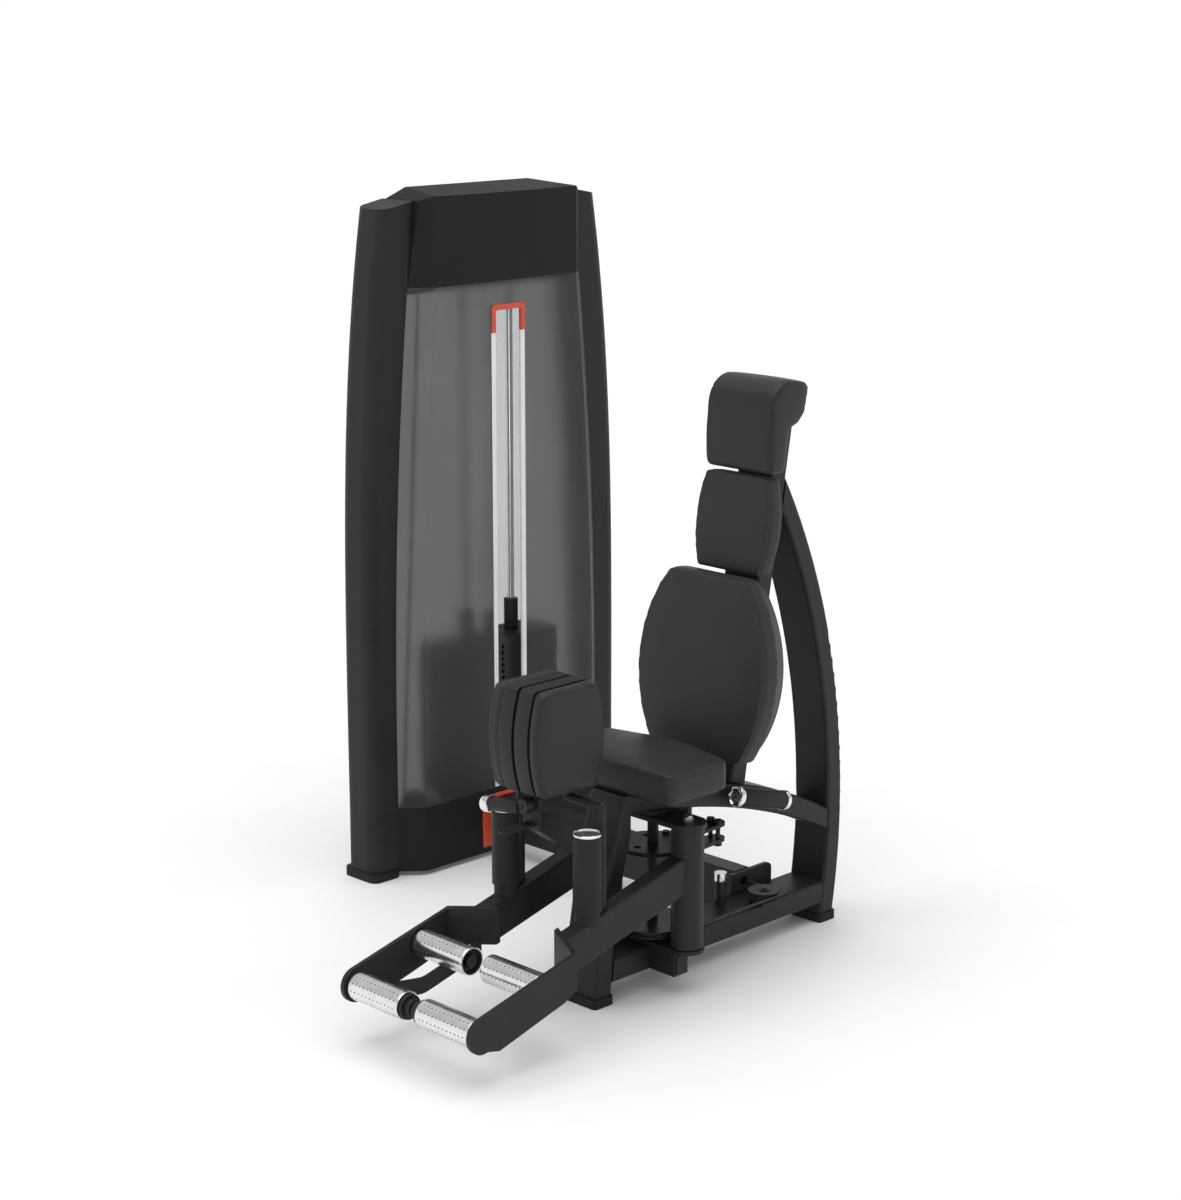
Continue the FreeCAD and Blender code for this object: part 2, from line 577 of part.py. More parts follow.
    # pad bracket (a bent round bar) with the pad's shell, and the thigh cushion
    gap, shell_deep, cushion_deep = size("pad_gap"), size("pad_shell"), size("pad_cushion")
    leg = rod(f"{side}_pad_leg_block", "9", "295", at("pivot_x", "leg_y", "180"))
    foot = side_profile(f"{side}_pad_leg_slope", [(-70, 150), (-20, 150), (-20, arm_top(-20)), (-70, arm_top(-70))],
                        *span("80", "160"))
    bend = doc.addObject("Part::Sphere", f"{side}_pad_bend")
    bind(bend, Radius="9")
    place(bend, *at("pivot_x", "leg_y", "475"))
    crossbar = along("pad_crossbar", "9", "22", "pivot_x", "leg_y", "475")
    stem = rod(f"{side}_pad_stem", "9", "25", at("22", "leg_y", "475"))
    tip = doc.addObject("Part::Sphere", f"{side}_pad_tip")
    bind(tip, Radius="9")
    place(tip, *at("22", "leg_y", "475"))
    holder = fuse(f"{side}_pad_bend_joined", cut(f"{side}_pad_leg", leg, foot), bend)
    for number, piece in enumerate((crossbar, tip, stem), start=1):
        holder = fuse(f"{side}_pad_holder_{number}", holder, piece)
    outline = pad_sides(500, 722)
    shell_item = side_profile(f"{side}_pad_shell", outline, *span(gap, gap + shell_deep))
    node(group(f"{side}_pad_bracket", holder, shell_item))
    face = gap + shell_deep
    node(side_profile(f"{side}_thigh_cushion", outline, *span(face + 0.3, face + cushion_deep)))


def pad_sides(low, high):
    """The thigh pad's outline: a rectangle with bulging sides."""
    return [(-150, low), (-18, low), (-4, low + 14, 14, -1), (-4, high - 14, 300, -1), (-18, high, 14, -1),
            (-150, high), (-164, high - 14, 14, -1), (-164, low + 14, 300, -1), (-150, low, 14, -1)]


# ---------------------------------------------------------------- weight tower
def outer_y(z):
    return 180 + 70.6 * max(0.0, (z - 350) / 1245) ** 3


def seam_y(z):
    return 258 + 77 * max(0.0, (z - 350) / 1250) ** 2


def across(y):
    """The same place on the tower's other side."""
    return 2 * size("tower_mid") - y


def spline_column(label, mirrored):
    """A column with two curved sides, rounded at its outer corners."""
    heights = [size("tower_foot"), 350, 600, 850, 1100, 1350]
    flip = across if mirrored else (lambda y: y)
    outer_top, seam_top = 1592, 1608
    body = doc.addObject("PartDesign::Body", label + "_body")
    sketch = body.newObject("Sketcher::SketchObject", label + "_outline")
    for feature in body.Origin.OriginFeatures:
        if feature.Role == "YZ_Plane":
            sketch.AttachmentSupport = [(feature, "")]
    sketch.MapMode = "FlatFace"
    bind(sketch, AttachmentOffset__Base__z="tower_back")
    sides = []
    for shape, top in ((outer_y, outer_top), (seam_y, seam_top)):
        points = [Vector(flip(shape(z)), z, 0) for z in heights + [top]]
        curve = Part.BSplineCurve()
        curve.interpolate(points)
        sketch.addGeometry(curve)
        sides.append((points[0], points[-1]))
    sketch.addGeometry(Part.LineSegment(sides[0][1], sides[1][1]))
    sketch.addGeometry(Part.LineSegment(sides[0][0], sides[1][0]))
    pad = body.newObject("PartDesign::Pad", label + "_pad")
    pad.Profile = sketch
    bind(pad, Length="tower_front - tower_back")
    body.Tip = pad
    place(body)
    middle = flip(outer_y(800)) + size("origin_y")

    def outer_edge(edge):
        point = edge.valueAt((edge.FirstParameter + edge.LastParameter) / 2)
        return edge.Length > 1000 and abs(point.y - middle) < 12
    return rounded(label, body, 32, outer_edge)


def panel_section(z, skin):
    """One level of the bowed front panel: a thin closed outline between the two columns' seams."""
    y = seam_y(z) + 0.5
    front = size("tower_front")
    bow = size("panel_out")

    def side(shift):
        x0, x1, x2 = front + shift, front + bow + shift, front + bow + size("panel_bow") + shift
        return [Vector(x0, y, z), Vector(x1, y + 52, z), Vector(x2, size("tower_mid"), z),
                Vector(x1, across(y + 52), z), Vector(x0, across(y), z)]
    outer, inner = side(0), side(-skin)
    return Part.Wire([
        Part.LineSegment(outer[0], outer[1]).toShape(),
        Part.Arc(outer[1], outer[2], outer[3]).toShape(),
        Part.LineSegment(outer[3], outer[4]).toShape(),
        Part.LineSegment(outer[4], inner[4]).toShape(),
        Part.LineSegment(inner[4], inner[3]).toShape(),
        Part.Arc(inner[3], inner[2], inner[1]).toShape(),
        Part.LineSegment(inner[1], inner[0]).toShape(),
        Part.LineSegment(inner[0], outer[0]).toShape()])


def feature(label, shape):
    """A sub-part whose shape comes from Part's own functions."""
    item = doc.addObject("Part::Feature", label)
    item.Shape = shape
    return place(item)


def panel(label, levels):
    """A bowed panel lofted through levels."""
    sections = [panel_section(z, size("panel_skin")) for z in levels]
    return feature(label, Part.makeLoft(sections, True, len(levels) == 2))


def slot_cutter(label, low):
    """The selector slot's space, with rounded upper corners."""
    outline = [(size("slot_low"), low), (size("slot_high"), low), (size("slot_high"), size("slot_top") - 12),
               (size("slot_high") - 12, size("slot_top"), 12, -1), (size("slot_low") + 12, size("slot_top")),
               (size("slot_low"), size("slot_top") - 12, 12, -1)]
    return side_profile(label, outline, "-900", "-780")


def tower_shell():
    node(spline_column("tower_front_column", False))
    node(spline_column("tower_rear_column", True))
    low, top = size("shield_low"), size("shield_top")
    shield = panel("shield_blank", [low, 500, 800, 1100, top])
    node(cut("tower_shield", shield, slot_cutter("shield_slot", low - 10)))

    kick = panel("kick_blank", [12, low - 0.5])
    opening = rod("kick_hole", "12", "80", ("-880", "channel_y", "cable_z"), "x")
    node(cut("tower_kick_panel", kick, opening))

    # header: a hollow cap with a shallow roof
    y, upper_y = seam_y(1411) + 0.6, seam_y(1609) + 1
    front, back, bow = size("tower_front"), size("tower_back") + 12, size("panel_out")

    def header_plan(inset, name, z_low, z_high):
        outline = [(back + inset, y + inset), (front, y + inset), (front + bow - inset, y + 52),
                   (front + bow - inset, across(y + 52), 4000, -1), (front, across(y + inset)),
                   (back + inset, across(y + inset))]
        return plan_profile(name, outline, z_low, z_high)
    blank = header_plan(0, "header_blank", "shield_top + 1", "tower_top")
    hollow = header_plan(6, "header_space", "shield_top", "tower_top - 50")
    sides = [(y - 1.5, 1400), (upper_y, 1609), (upper_y + 60, 1632), (across(upper_y + 60), 1632),
             (across(upper_y), 1609), (across(y - 1.5), 1400)]
    roof = side_profile("header_roof", sides, "tower_back", "-780")
    narrow = [(y + 6, 1400), (upper_y + 6, 1609), (across(upper_y + 6), 1609), (across(y + 6), 1400)]
    room = common("header_room", hollow, side_profile("header_sides", narrow, "tower_back", "-780"))
    header = cut("header_shell", common("header_roofed", blank, roof), room)
    fall = [(back - 5, 1632), (front + bow + 10, 1618), (front + bow + 10, 1660), (back - 5, 1660)]
    slope = profile("header_slope", "XZ", [fall], "-1300", "2600")
    node(cut("tower_header", header, slope))

    top = 1405
    edge, edge_top = seam_y(350) + 1, seam_y(top) + 1
    curve = 10146
    back_outline = [(edge, 30), (across(edge), 30), (across(edge), 350), (across(edge_top), top, curve, -1),
                    (edge_top, top), (edge, 350, curve, -1)]
    node(side_profile("tower_back_panel", back_outline, "tower_back + 4", "tower_back + 8"))


def slot_trim():
    """A lining inside the slot's edge, arch and side strips, and a low arch over the cable channel."""
    low, high, top = size("slot_low") + 0.3, size("slot_high") - 0.3, size("slot_top") - 0.3
    band, leg = 14, 66
    x = ("panel_front - 5", "panel_front + 3")
    arch = [(low, top - leg), (low + band, top - leg), (low + band, top - band - 4),
            (low + band + 4, top - band, 4, 1), (high - band - 4, top - band),
            (high - band, top - band - 4, 4, 1), (high - band, top - leg), (high, top - leg),
            (high, top - 12), (high - 12, top, 12, -1), (low + 12, top), (low, top - 12, 12, -1)]
    pieces = [side_profile("upper_trim", arch, *x)]
    for number, start in enumerate((low, high - band), start=1):
        pieces.append(box(f"side_strip_{number}", ("panel_front - 5", "panel_front + 1"),
                          (str(start), str(start + band)), ("shield_low + 1", str(top - leg - 0.3))))
    foot = [(490, 27), (528, 27), (528, 147), (606, 147), (606, 27), (648, 27), (648, 113),
            (603, 158, 45, -1), (520, 158), (490, 128, 30, -1)]
    pieces.append(side_profile("lower_trim", foot, "panel_front + 1.1", "panel_front + 5"))
    node(group("slot_trim", *pieces))


def stack_plate(z, thick, holes):
    """One weight plate with its rod holes, stem hole and front pin hole."""
    x0, y0 = size("rod_x") - size("plate_deep") / 2, size("tower_mid") - size("plate_long") / 2
    plate = Part.makeBox(size("plate_deep"), size("plate_long"), thick, Vector(x0, y0, z))
    for offset in (-size("rod_offset"), size("rod_offset")):
        plate = plate.cut(Part.makeCylinder(9.5, thick, Vector(size("rod_x"), size("tower_mid") + offset, z)))
    if holes:
        plate = plate.cut(Part.makeCylinder(size("stem_radius") + 1, thick,
                                            Vector(size("rod_x"), size("tower_mid"), z)))
        plate = plate.cut(Part.makeCylinder(5.5, size("plate_deep") / 2 + 1,
                                            Vector(size("rod_x"), size("tower_mid"), z + thick / 2),
                                            Vector(1, 0, 0)))
    return plate


def weight_stack():
    pitch, gap, count = size("plate_pitch"), size("plate_gap"), int(size("plate_count"))
    lifted, low = int(size("lifted_count")), size("stack_low")
    levels = [low + pitch * index for index in range(count)]
    resting = [stack_plate(z, pitch - gap, True) for z in levels[:count - lifted]]
    node(feature("resting_plates", Part.makeCompound(resting)))

    moving = [stack_plate(z, pitch - gap, True) for z in levels[count - lifted:-1]]
    top = stack_plate(levels[-1], pitch - gap, False)
    head_z = levels[-1] + pitch - gap
    middle = Vector(size("rod_x"), size("tower_mid"), head_z)
    stem = Part.makeCylinder(size("stem_radius"), levels[-1] - low - 10, Vector(middle.x, middle.y, low + 10))
    for z in levels[:-1]:
        hole = Part.makeCylinder(5, 40, Vector(middle.x - 20, middle.y, z + (pitch - gap) / 2), Vector(1, 0, 0))
        stem = stem.cut(hole)
    moving += [top, stem, Part.makeCylinder(14, 60, middle)]
    for offset in (-size("rod_offset"), size("rod_offset")):
        base = Vector(middle.x, middle.y + offset, head_z)
        bushing = Part.makeCylinder(17.5, 78, base).cut(Part.makeCylinder(size("rod_bore"), 78, base))
        moving.append(bushing)
    node(feature("lifted_plates", Part.makeCompound(moving)))

    # selector pin in the lowest lifted plate, with a round pull knob
    pin_z = levels[count - lifted] + (pitch - gap) / 2
    front = size("rod_x") + size("plate_deep") / 2
    pin = Part.makeCylinder(4.5, front + 6 - size("rod_x"), Vector(size("rod_x"), middle.y, pin_z), Vector(1, 0, 0))
    knob = Part.makeCylinder(14, 20, Vector(front + 6, middle.y, pin_z), Vector(1, 0, 0))
    node(feature("selector_pin", pin.fuse(knob)))

    rods = [rod(f"guide_rod_{number}", "rod_radius", "1253", ("rod_x", f"tower_mid {sign} rod_offset", "142"))
            for number, sign in enumerate("-+", start=1)]
    node(group("guide_rods", *rods))


def stack_frame():
    """Floor channel under the plates, rubber buffers, top cross beam, and the pulleys' ears and axles."""
    x = ("rod_x - 42", "rod_x + 30")
    floor = box("stack_floor_block", x, ("258.5", "924.5"), ("132", "142"))
    window = box("floor_window", ("rod_x - 12", "rod_x + 12"), ("low_pulley_y - 46", "low_pulley_y + 46"),
                 ("130", "144"))
    pieces = [cut("stack_floor", floor, window)]
    for number, y in enumerate((("258.5", "268.5"), ("914.5", "924.5")), start=1):
        pieces.append(box(f"stack_leg_{number}", x, y, ("24", "132")))
    for number, sign in enumerate("-+", start=1):
        at = ("rod_x", f"tower_mid {sign} rod_offset", "142")
        pieces.append(cut(f"buffer_{number}", rod(f"buffer_block_{number}", "24", "21.5", at),
                          rod(f"buffer_hole_{number}", "rod_radius", "21.5", at)))
    beam = box("top_beam_block", x, ("313.5", "869.5"), ("1395", "1405"))
    for number, y in enumerate(("tower_mid", "side_run_y - 6"), start=1):
        opening = box(f"beam_window_{number}", ("rod_x - 12", "rod_x + 12"), (f"{y} - 14", f"{y} + 14"),
                      ("1390", "1410"))
        beam = cut(f"top_beam_{number}", beam, opening)
    pieces.append(beam)
    ears = (("top", "tower_mid - pulley_radius", "1405", "pulley_high"),
            ("side", "side_run_y + pulley_radius", "1405", "pulley_high"),
            ("low", "low_pulley_y", "142", "cable_z + pulley_radius"))
    for name, y, low, axle_z in ears:
        axle = rod(f"{name}_axle", "axle_pin", "24", ("rod_x - 12", y, axle_z), "x")
        pieces.append(axle)
        for edge, start, end in (("a", "rod_x - 17", "rod_x - 12"), ("b", "rod_x + 12", "rod_x + 17")):
            pieces.append(box(f"{name}_ear_{edge}", (start, end), (f"{y} - 12", f"{y} + 12"),
                              (low, f"{axle_z} + 14")))
    at = ("rod_x + pulley_radius", "channel_y - pulley_radius", "107")
    pieces.append(rod("turn_axle", "axle_pin", "25", at))
    node(group("stack_frame", *pieces))


# ---------------------------------------------------------------- cable and pulleys
def pulley(name, centre, axis):
    """A grooved wheel with a hub; the groove holds the cable's line."""
    line, bore = size("pulley_radius"), size("axle_pin_bore")
    groove, hub = line - size("cable_radius") - 0.5, 12
    points = [Vector(bore, 0, -11), Vector(hub, 0, -11), Vector(hub, 0, -9), Vector(line + 5, 0, -9),
              Vector(groove, 0, -3.8), Vector(groove, 0, 3.8), Vector(line + 5, 0, 9), Vector(hub, 0, 9),
              Vector(hub, 0, 11), Vector(bore, 0, 11), Vector(bore, 0, -11)]
    item = feature(name, Part.Face(Part.makePolygon(points)).revolve(Vector(), Vector(0, 0, 1), 360))
    item.Placement = Placement(Vector(), TURN[axis])
    node(place(item, *[str(value) for value in centre]))


def pulley_centres():
    """Where the five pulleys stand."""
    radius, x, high = size("pulley_radius"), size("rod_x"), size("pulley_high")
    cable_z, channel_y = size("cable_z"), size("channel_y")
    return {"top_pulley": (x, size("tower_mid") - radius, high),
            "side_pulley": (x, size("side_run_y") + radius, high),
            "low_pulley": (x, size("low_pulley_y"), cable_z + radius),
            "turn_pulley": (x + radius, channel_y - radius, cable_z),
            "beam_pulley": (size("drum_radius") - radius, channel_y - radius, cable_z)}


def cable_pieces():
    """The lifting strand, and the cable that runs over the pulleys to the drum with tangent arcs."""
    centre = pulley_centres()
    radius, x, cable = size("pulley_radius"), size("rod_x"), size("cable_radius")
    strand_low = size("stack_low") + size("plate_pitch") * size("plate_count") - size("plate_gap") + 60
    node(rod("lifting_strand", "cable_radius", f"pulley_high - {strand_low}",
             ("rod_x", "tower_mid", str(strand_low))))

    def around(name, start, end, normal):
        """An arc round a pulley between two unit directions in the pulley's plane."""
        middle = Vector(*centre[name])
        half = (start + end).normalize()
        return Part.Arc(middle + start * normal, middle + half * normal, middle + end * normal).toShape()
    north, south, up, down = Vector(0, 1, 0), Vector(0, -1, 0), Vector(0, 0, 1), Vector(0, 0, -1)
    east, west = Vector(1, 0, 0), Vector(-1, 0, 0)
    run = Vector(*centre["low_pulley"]) - Vector(*centre["side_pulley"])
    outward = run.cross(east).normalize()
    if outward.y > 0:
        outward = outward * -1
    drum = Vector(0, size("disc_y"), size("cable_z"))
    line = size("drum_radius")
    wrap = math.radians(40)
    arcs = [around("top_pulley", north, up, radius), around("side_pulley", up, outward, radius),
            around("low_pulley", outward, down, radius), around("turn_pulley", west, north, radius),
            around("beam_pulley", north, east, radius),
            Part.Arc(drum + east * line,
                     drum + Vector(math.cos(wrap / 2), -math.sin(wrap / 2), 0) * line,
                     drum + Vector(math.cos(wrap), -math.sin(wrap), 0) * line).toShape()]
    edges = []
    for first, second in zip(arcs, arcs[1:] + [None]):
        edges.append(first)
        if second is not None:
            start, end = first.valueAt(first.LastParameter), second.valueAt(second.FirstParameter)
            edges.append(Part.LineSegment(start, end).toShape())
    path = Part.Wire(edges)
    section = Part.Wire(Part.Circle(arcs[0].valueAt(arcs[0].FirstParameter), up, cable).toShape())
    swept = path.makePipeShell([section], True, False)
    print("drive cable length", round(path.Length), "volume ratio",
          round(swept.Volume / (path.Length * math.pi * cable ** 2), 4))
    node(feature("drive_cable", swept))


def crank_disc():
    """Slotted disc and cable drum on one upright shaft between the pivot plates."""
    y = size("disc_y")
    low, high = size("plate_top") + 1, size("upper_plate_low") - 1
    shaft = Part.makeCylinder(12, high - low, Vector(0, y, low))
    bore = size("axle_pin_bore")
    shaft = shaft.cut(Part.makeCylinder(bore, 20, Vector(0, y, low)))
    shaft = shaft.cut(Part.makeCylinder(bore, 20, Vector(0, y, high - 20)))
    disc = Part.makeCylinder(78, 8, Vector(0, y, 296))
    for angle in (30, 150, 270):
        centre = Vector(48 * math.cos(math.radians(angle)), y + 48 * math.sin(math.radians(angle)), 296)
        disc = disc.cut(Part.makeCylinder(9, 8, centre))
    bolt = Part.makeCylinder(8, 6, Vector(-20, y + 62, 304))
    line, reach = size("drum_radius"), size("cable_radius")
    drum = Part.makeCylinder(line + 1, 16, Vector(0, y, size("cable_z") - 8))
    groove = Part.makeTorus(line, reach + 0.4, Vector(0, y, size("cable_z")), Vector(0, 0, 1))
    drum = drum.cut(groove).cut(Part.makeCylinder(bore, 20, Vector(0, y, low)))
    node(feature("crank_disc", Part.makeCompound([shaft.fuse([disc, drum]).removeSplitter(), bolt])))


# ---------------------------------------------------------------- build, check and write
front_post()
base_beam()
seat_tube()
rear_upright()
backrest_post()
feet()
pivot_frame()
small_brackets()
range_lever()
cable_channel()
backrest(seat())
seat_grips()
arm("left", 1)
arm("right", -1)
tower_shell()
slot_trim()
weight_stack()
stack_frame()
for pulley_name, pulley_place in pulley_centres().items():
    pulley(pulley_name, pulley_place, "z" if pulley_name in ("turn_pulley", "beam_pulley") else "x")
cable_pieces()
crank_disc()

doc.recompute()
for item in doc.Objects:
    if "Invalid" in item.State or "Error" in item.State:
        raise RuntimeError(f"{item.Label} failed: {item.State}")
for item in nodes:
    if item.Shape.isNull() or not item.Shape.isValid() or not item.Shape.Solids:
        raise RuntimeError(f"{item.Label} has no valid solid")

os.makedirs("parts", exist_ok=True)
whole = FreeCAD.BoundBox()
for item in nodes:
    item.Shape.exportStep(f"parts/{item.Label}.step")
    whole.add(item.Shape.optimalBoundingBox(False))
print(len(nodes), "sub-parts; box", [round(value, 2) for value in
      (whole.XMin, whole.XMax, whole.YMin, whole.YMax, whole.ZMin, whole.ZMax)])
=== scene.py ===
import json
import math
from collections import namedtuple

import bmesh
import bpy
import numpy as np
from mathutils import Matrix, Vector
from mathutils.bvhtree import BVHTree
from mathutils.kdtree import KDTree


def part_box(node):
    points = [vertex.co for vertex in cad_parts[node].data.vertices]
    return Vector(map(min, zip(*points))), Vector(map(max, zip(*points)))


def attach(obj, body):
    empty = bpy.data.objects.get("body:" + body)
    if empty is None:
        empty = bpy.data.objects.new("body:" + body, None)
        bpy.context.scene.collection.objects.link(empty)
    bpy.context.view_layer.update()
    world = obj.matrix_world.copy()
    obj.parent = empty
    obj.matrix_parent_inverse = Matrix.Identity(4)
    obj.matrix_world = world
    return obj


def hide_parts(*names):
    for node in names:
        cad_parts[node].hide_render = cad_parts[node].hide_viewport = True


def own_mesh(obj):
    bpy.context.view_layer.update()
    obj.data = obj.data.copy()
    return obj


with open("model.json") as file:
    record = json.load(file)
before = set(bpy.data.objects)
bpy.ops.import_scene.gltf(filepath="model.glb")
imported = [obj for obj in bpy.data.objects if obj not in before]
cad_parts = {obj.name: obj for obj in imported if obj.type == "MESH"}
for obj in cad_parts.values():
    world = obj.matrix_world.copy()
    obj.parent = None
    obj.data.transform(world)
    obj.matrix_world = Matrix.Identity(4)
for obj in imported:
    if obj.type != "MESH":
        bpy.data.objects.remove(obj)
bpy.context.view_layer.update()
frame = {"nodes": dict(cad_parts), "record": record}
NODES = frame["nodes"]
MM = 0.001
SIDES = ("left", "right")


# ---------------------------------------------------------------- materials
def node_tree(name):
    """A new material with its Principled shader, and a helper that adds linked nodes."""
    made = bpy.data.materials.new(name)
    made.use_nodes = True
    tree = made.node_tree
    shader = tree.nodes["Principled BSDF"]
    coords = tree.nodes.new("ShaderNodeTexCoord").outputs["Object"]

    def add(kind, **inputs):
        node = tree.nodes.new(kind)
        for key, value in inputs.items():
            socket = node.inputs[key.replace("_", " ")]
            if isinstance(value, bpy.types.NodeSocket):
                tree.links.new(value, socket)
            else:
                socket.default_value = value
        return node
    return made, tree, shader, coords, add


def shade(grey, tint=(1.0, 1.0, 1.03)):
    """An almost neutral colour."""
    return tuple(grey * part for part in tint) + (1.0,)


def clouded(tree, add, coords, scale, first, second):
    """A colour that drifts between two close shades."""
    cloud = add("ShaderNodeTexNoise", Vector=coords, Scale=scale, Detail=4.0, Roughness=0.6)
    ramp = tree.nodes.new("ShaderNodeValToRGB")
    tree.links.new(cloud.outputs["Fac"], ramp.inputs["Fac"])
    ramp.color_ramp.elements[0].position, ramp.color_ramp.elements[1].position = 0.35, 0.68
    ramp.color_ramp.elements[0].color, ramp.color_ramp.elements[1].color = first, second
    return ramp.outputs["Color"], cloud.outputs["Fac"]


def between(add, value, low, high):
    """A noise value stretched to a range."""
    return add("ShaderNodeMapRange", Value=value, From_Min=0.3, From_Max=0.7, To_Min=low,
               To_Max=high).outputs["Result"]


def surface(name, first, second, rough, metal=0.0, specular=0.5, cloud=9.0, grain=900.0, depth=0.12,
            edge=1.0):
    """A painted, moulded or metal finish: two close shades, uneven gloss, fine grain, softened edges."""
    made, tree, shader, coords, add = node_tree(name)
    colour, drift = clouded(tree, add, coords, cloud, first, second)
    tree.links.new(colour, shader.inputs["Base Color"])
    tree.links.new(between(add, drift, rough[0], rough[1]), shader.inputs["Roughness"])
    fine = add("ShaderNodeTexNoise", Vector=coords, Scale=grain, Detail=3.0, Roughness=0.55)
    round_edge = add("ShaderNodeBevel", Radius=edge * MM)
    round_edge.samples = 4
    bump = add("ShaderNodeBump", Strength=0.5, Distance=depth * MM, Height=fine.outputs["Fac"],
               Normal=round_edge.outputs["Normal"])
    tree.links.new(bump.outputs["Normal"], shader.inputs["Normal"])
    shader.inputs["Metallic"].default_value = metal
    shader.inputs["Specular IOR Level"].default_value = specular
    return made


def leather(name):
    """Black gym vinyl: pebbled grain, faint creases, a slightly worn sheen."""
    made, tree, shader, coords, add = node_tree(name)
    colour, drift = clouded(tree, add, coords, 6.0, shade(0.016), shade(0.021))
    tree.links.new(colour, shader.inputs["Base Color"])
    tree.links.new(between(add, drift, 0.40, 0.52), shader.inputs["Roughness"])
    cells = add("ShaderNodeTexVoronoi", Vector=coords, Scale=620.0, Randomness=1.0)
    cells.feature = "DISTANCE_TO_EDGE"
    creases = add("ShaderNodeTexNoise", Vector=coords, Scale=55.0, Detail=6.0, Roughness=0.65)
    folds = add("ShaderNodeBump", Strength=0.22, Distance=0.6 * MM, Height=creases.outputs["Fac"])
    bump = add("ShaderNodeBump", Strength=0.30, Distance=0.25 * MM, Height=cells.outputs["Distance"],
               Normal=folds.outputs["Normal"])
    tree.links.new(bump.outputs["Normal"], shader.inputs["Normal"])
    shader.inputs["Specular IOR Level"].default_value = 0.26
    shader.inputs["Sheen Weight"].default_value = 0.05
    shader.inputs["Sheen Roughness"].default_value = 0.45
    return made


def smoked(name, tint, rough):
    """Grey translucent plastic sheet with a faint moulding haze."""
    made, tree, shader, coords, add = node_tree(name)
    darker = tuple(part * 0.9 for part in tint[:3]) + (1.0,)
    colour, drift = clouded(tree, add, coords, 3.0, darker, tint)
    tree.links.new(colour, shader.inputs["Base Color"])
    tree.links.new(between(add, drift, rough[0], rough[1]), shader.inputs["Roughness"])
    ripple = add("ShaderNodeTexNoise", Vector=coords, Scale=240.0, Detail=2.0)
    bump = add("ShaderNodeBump", Strength=0.15, Distance=0.1 * MM, Height=ripple.outputs["Fac"])
    tree.links.new(bump.outputs["Normal"], shader.inputs["Normal"])
    shader.inputs["Transmission Weight"].default_value = 0.92
    shader.inputs["IOR"].default_value = 1.25
    shader.inputs["Specular IOR Level"].default_value = 0.4
    return made


def cast_iron(name):
    """Black painted plates with a coarse cast skin."""
    return surface(name, shade(0.022), shade(0.032), (0.42, 0.6), specular=0.4, cloud=30.0, grain=420.0,
                   depth=0.35, edge=1.2)


def chrome(name, rough=(0.08, 0.16)):
    """Polished chrome with faint smears."""
    return surface(name, shade(0.74, (1, 1, 1.01)), shade(0.82, (1, 1, 1.01)), rough, metal=1.0, cloud=25.0,
                   grain=300.0, depth=0.02, edge=0.6)


PAINT = surface("black_powder_coat", shade(0.013), shade(0.018), (0.40, 0.50), specular=0.24, grain=1100.0)
TOWER = surface("tower_powder_coat", shade(0.014), shade(0.019), (0.48, 0.58), specular=0.22, grain=1100.0)
HEADER = surface("header_plastic", shade(0.013), shade(0.017), (0.55, 0.65), specular=0.12, grain=700.0,
                 edge=1.6)
SHELL = surface("pad_shell_plastic", shade(0.012), shade(0.016), (0.42, 0.5), specular=0.28, grain=800.0,
                edge=2.0)
RUBBER = surface("grip_rubber", shade(0.013), shade(0.018), (0.50, 0.62), specular=0.22, grain=650.0,
                 depth=0.2)
FOOT = surface("foot_rubber", shade(0.012), shade(0.018), (0.62, 0.75), specular=0.2, grain=500.0,
               depth=0.25)
NYLON = surface("pulley_nylon", shade(0.014), shade(0.019), (0.40, 0.50), specular=0.3, grain=600.0)
SLEEVE = surface("cable_sleeve", shade(0.012), shade(0.018), (0.3, 0.4), specular=0.4, grain=1500.0)
STEEL = surface("turned_steel", shade(0.42), shade(0.52), (0.24, 0.36), metal=1.0, grain=900.0, depth=0.05)
CHROME = chrome("polished_chrome")
ROLLER = chrome("roller_chrome", (0.17, 0.25))
ORANGE = surface("orange_trim", (0.55, 0.055, 0.02, 1), (0.62, 0.07, 0.026, 1), (0.34, 0.42), grain=900.0,
                 depth=0.06)
WHITE = surface("white_strip", shade(0.78, (1, 1, 1)), shade(0.84, (1, 1, 1)), (0.32, 0.42), grain=900.0,
                depth=0.06)
DISC = surface("grip_disc", shade(0.05), shade(0.07), (0.25, 0.35), grain=900.0)
PLATES = cast_iron("weight_iron")
VINYL = leather("black_vinyl")
SMOKED = smoked("smoked_front", (0.29, 0.29, 0.295, 1), (0.42, 0.48))
CLEAR = smoked("smoked_back", (0.62, 0.62, 0.63, 1), (0.03, 0.06))

FINISH = {
    "frame_paint": PAINT, "tower_paint": TOWER, "header_shell": HEADER, "smoked_shield": SMOKED,
    "trim_orange": ORANGE, "upholstery": VINYL, "pad_shell": SHELL, "grip_rubber": RUBBER,
    "foot_rubber": FOOT, "chrome_part": CHROME, "steel_part": STEEL, "weight_plate": PLATES,
    "pulley_plastic": NYLON, "cable_cover": SLEEVE,
}
# nodes whose finish differs from their slot's
SPECIAL_FINISH = {"tower_back_panel": CLEAR, "left_axles": PAINT, "right_axles": PAINT}
# width of the softened edges, in mm
BEVELLED = {"lifted_plates": 1.6, "resting_plates": 1.6, "left_pad_bracket": 1.2, "right_pad_bracket": 1.2}
SAME_PLACE = 0.01 * MM
SHARP_EDGE = math.radians(35)


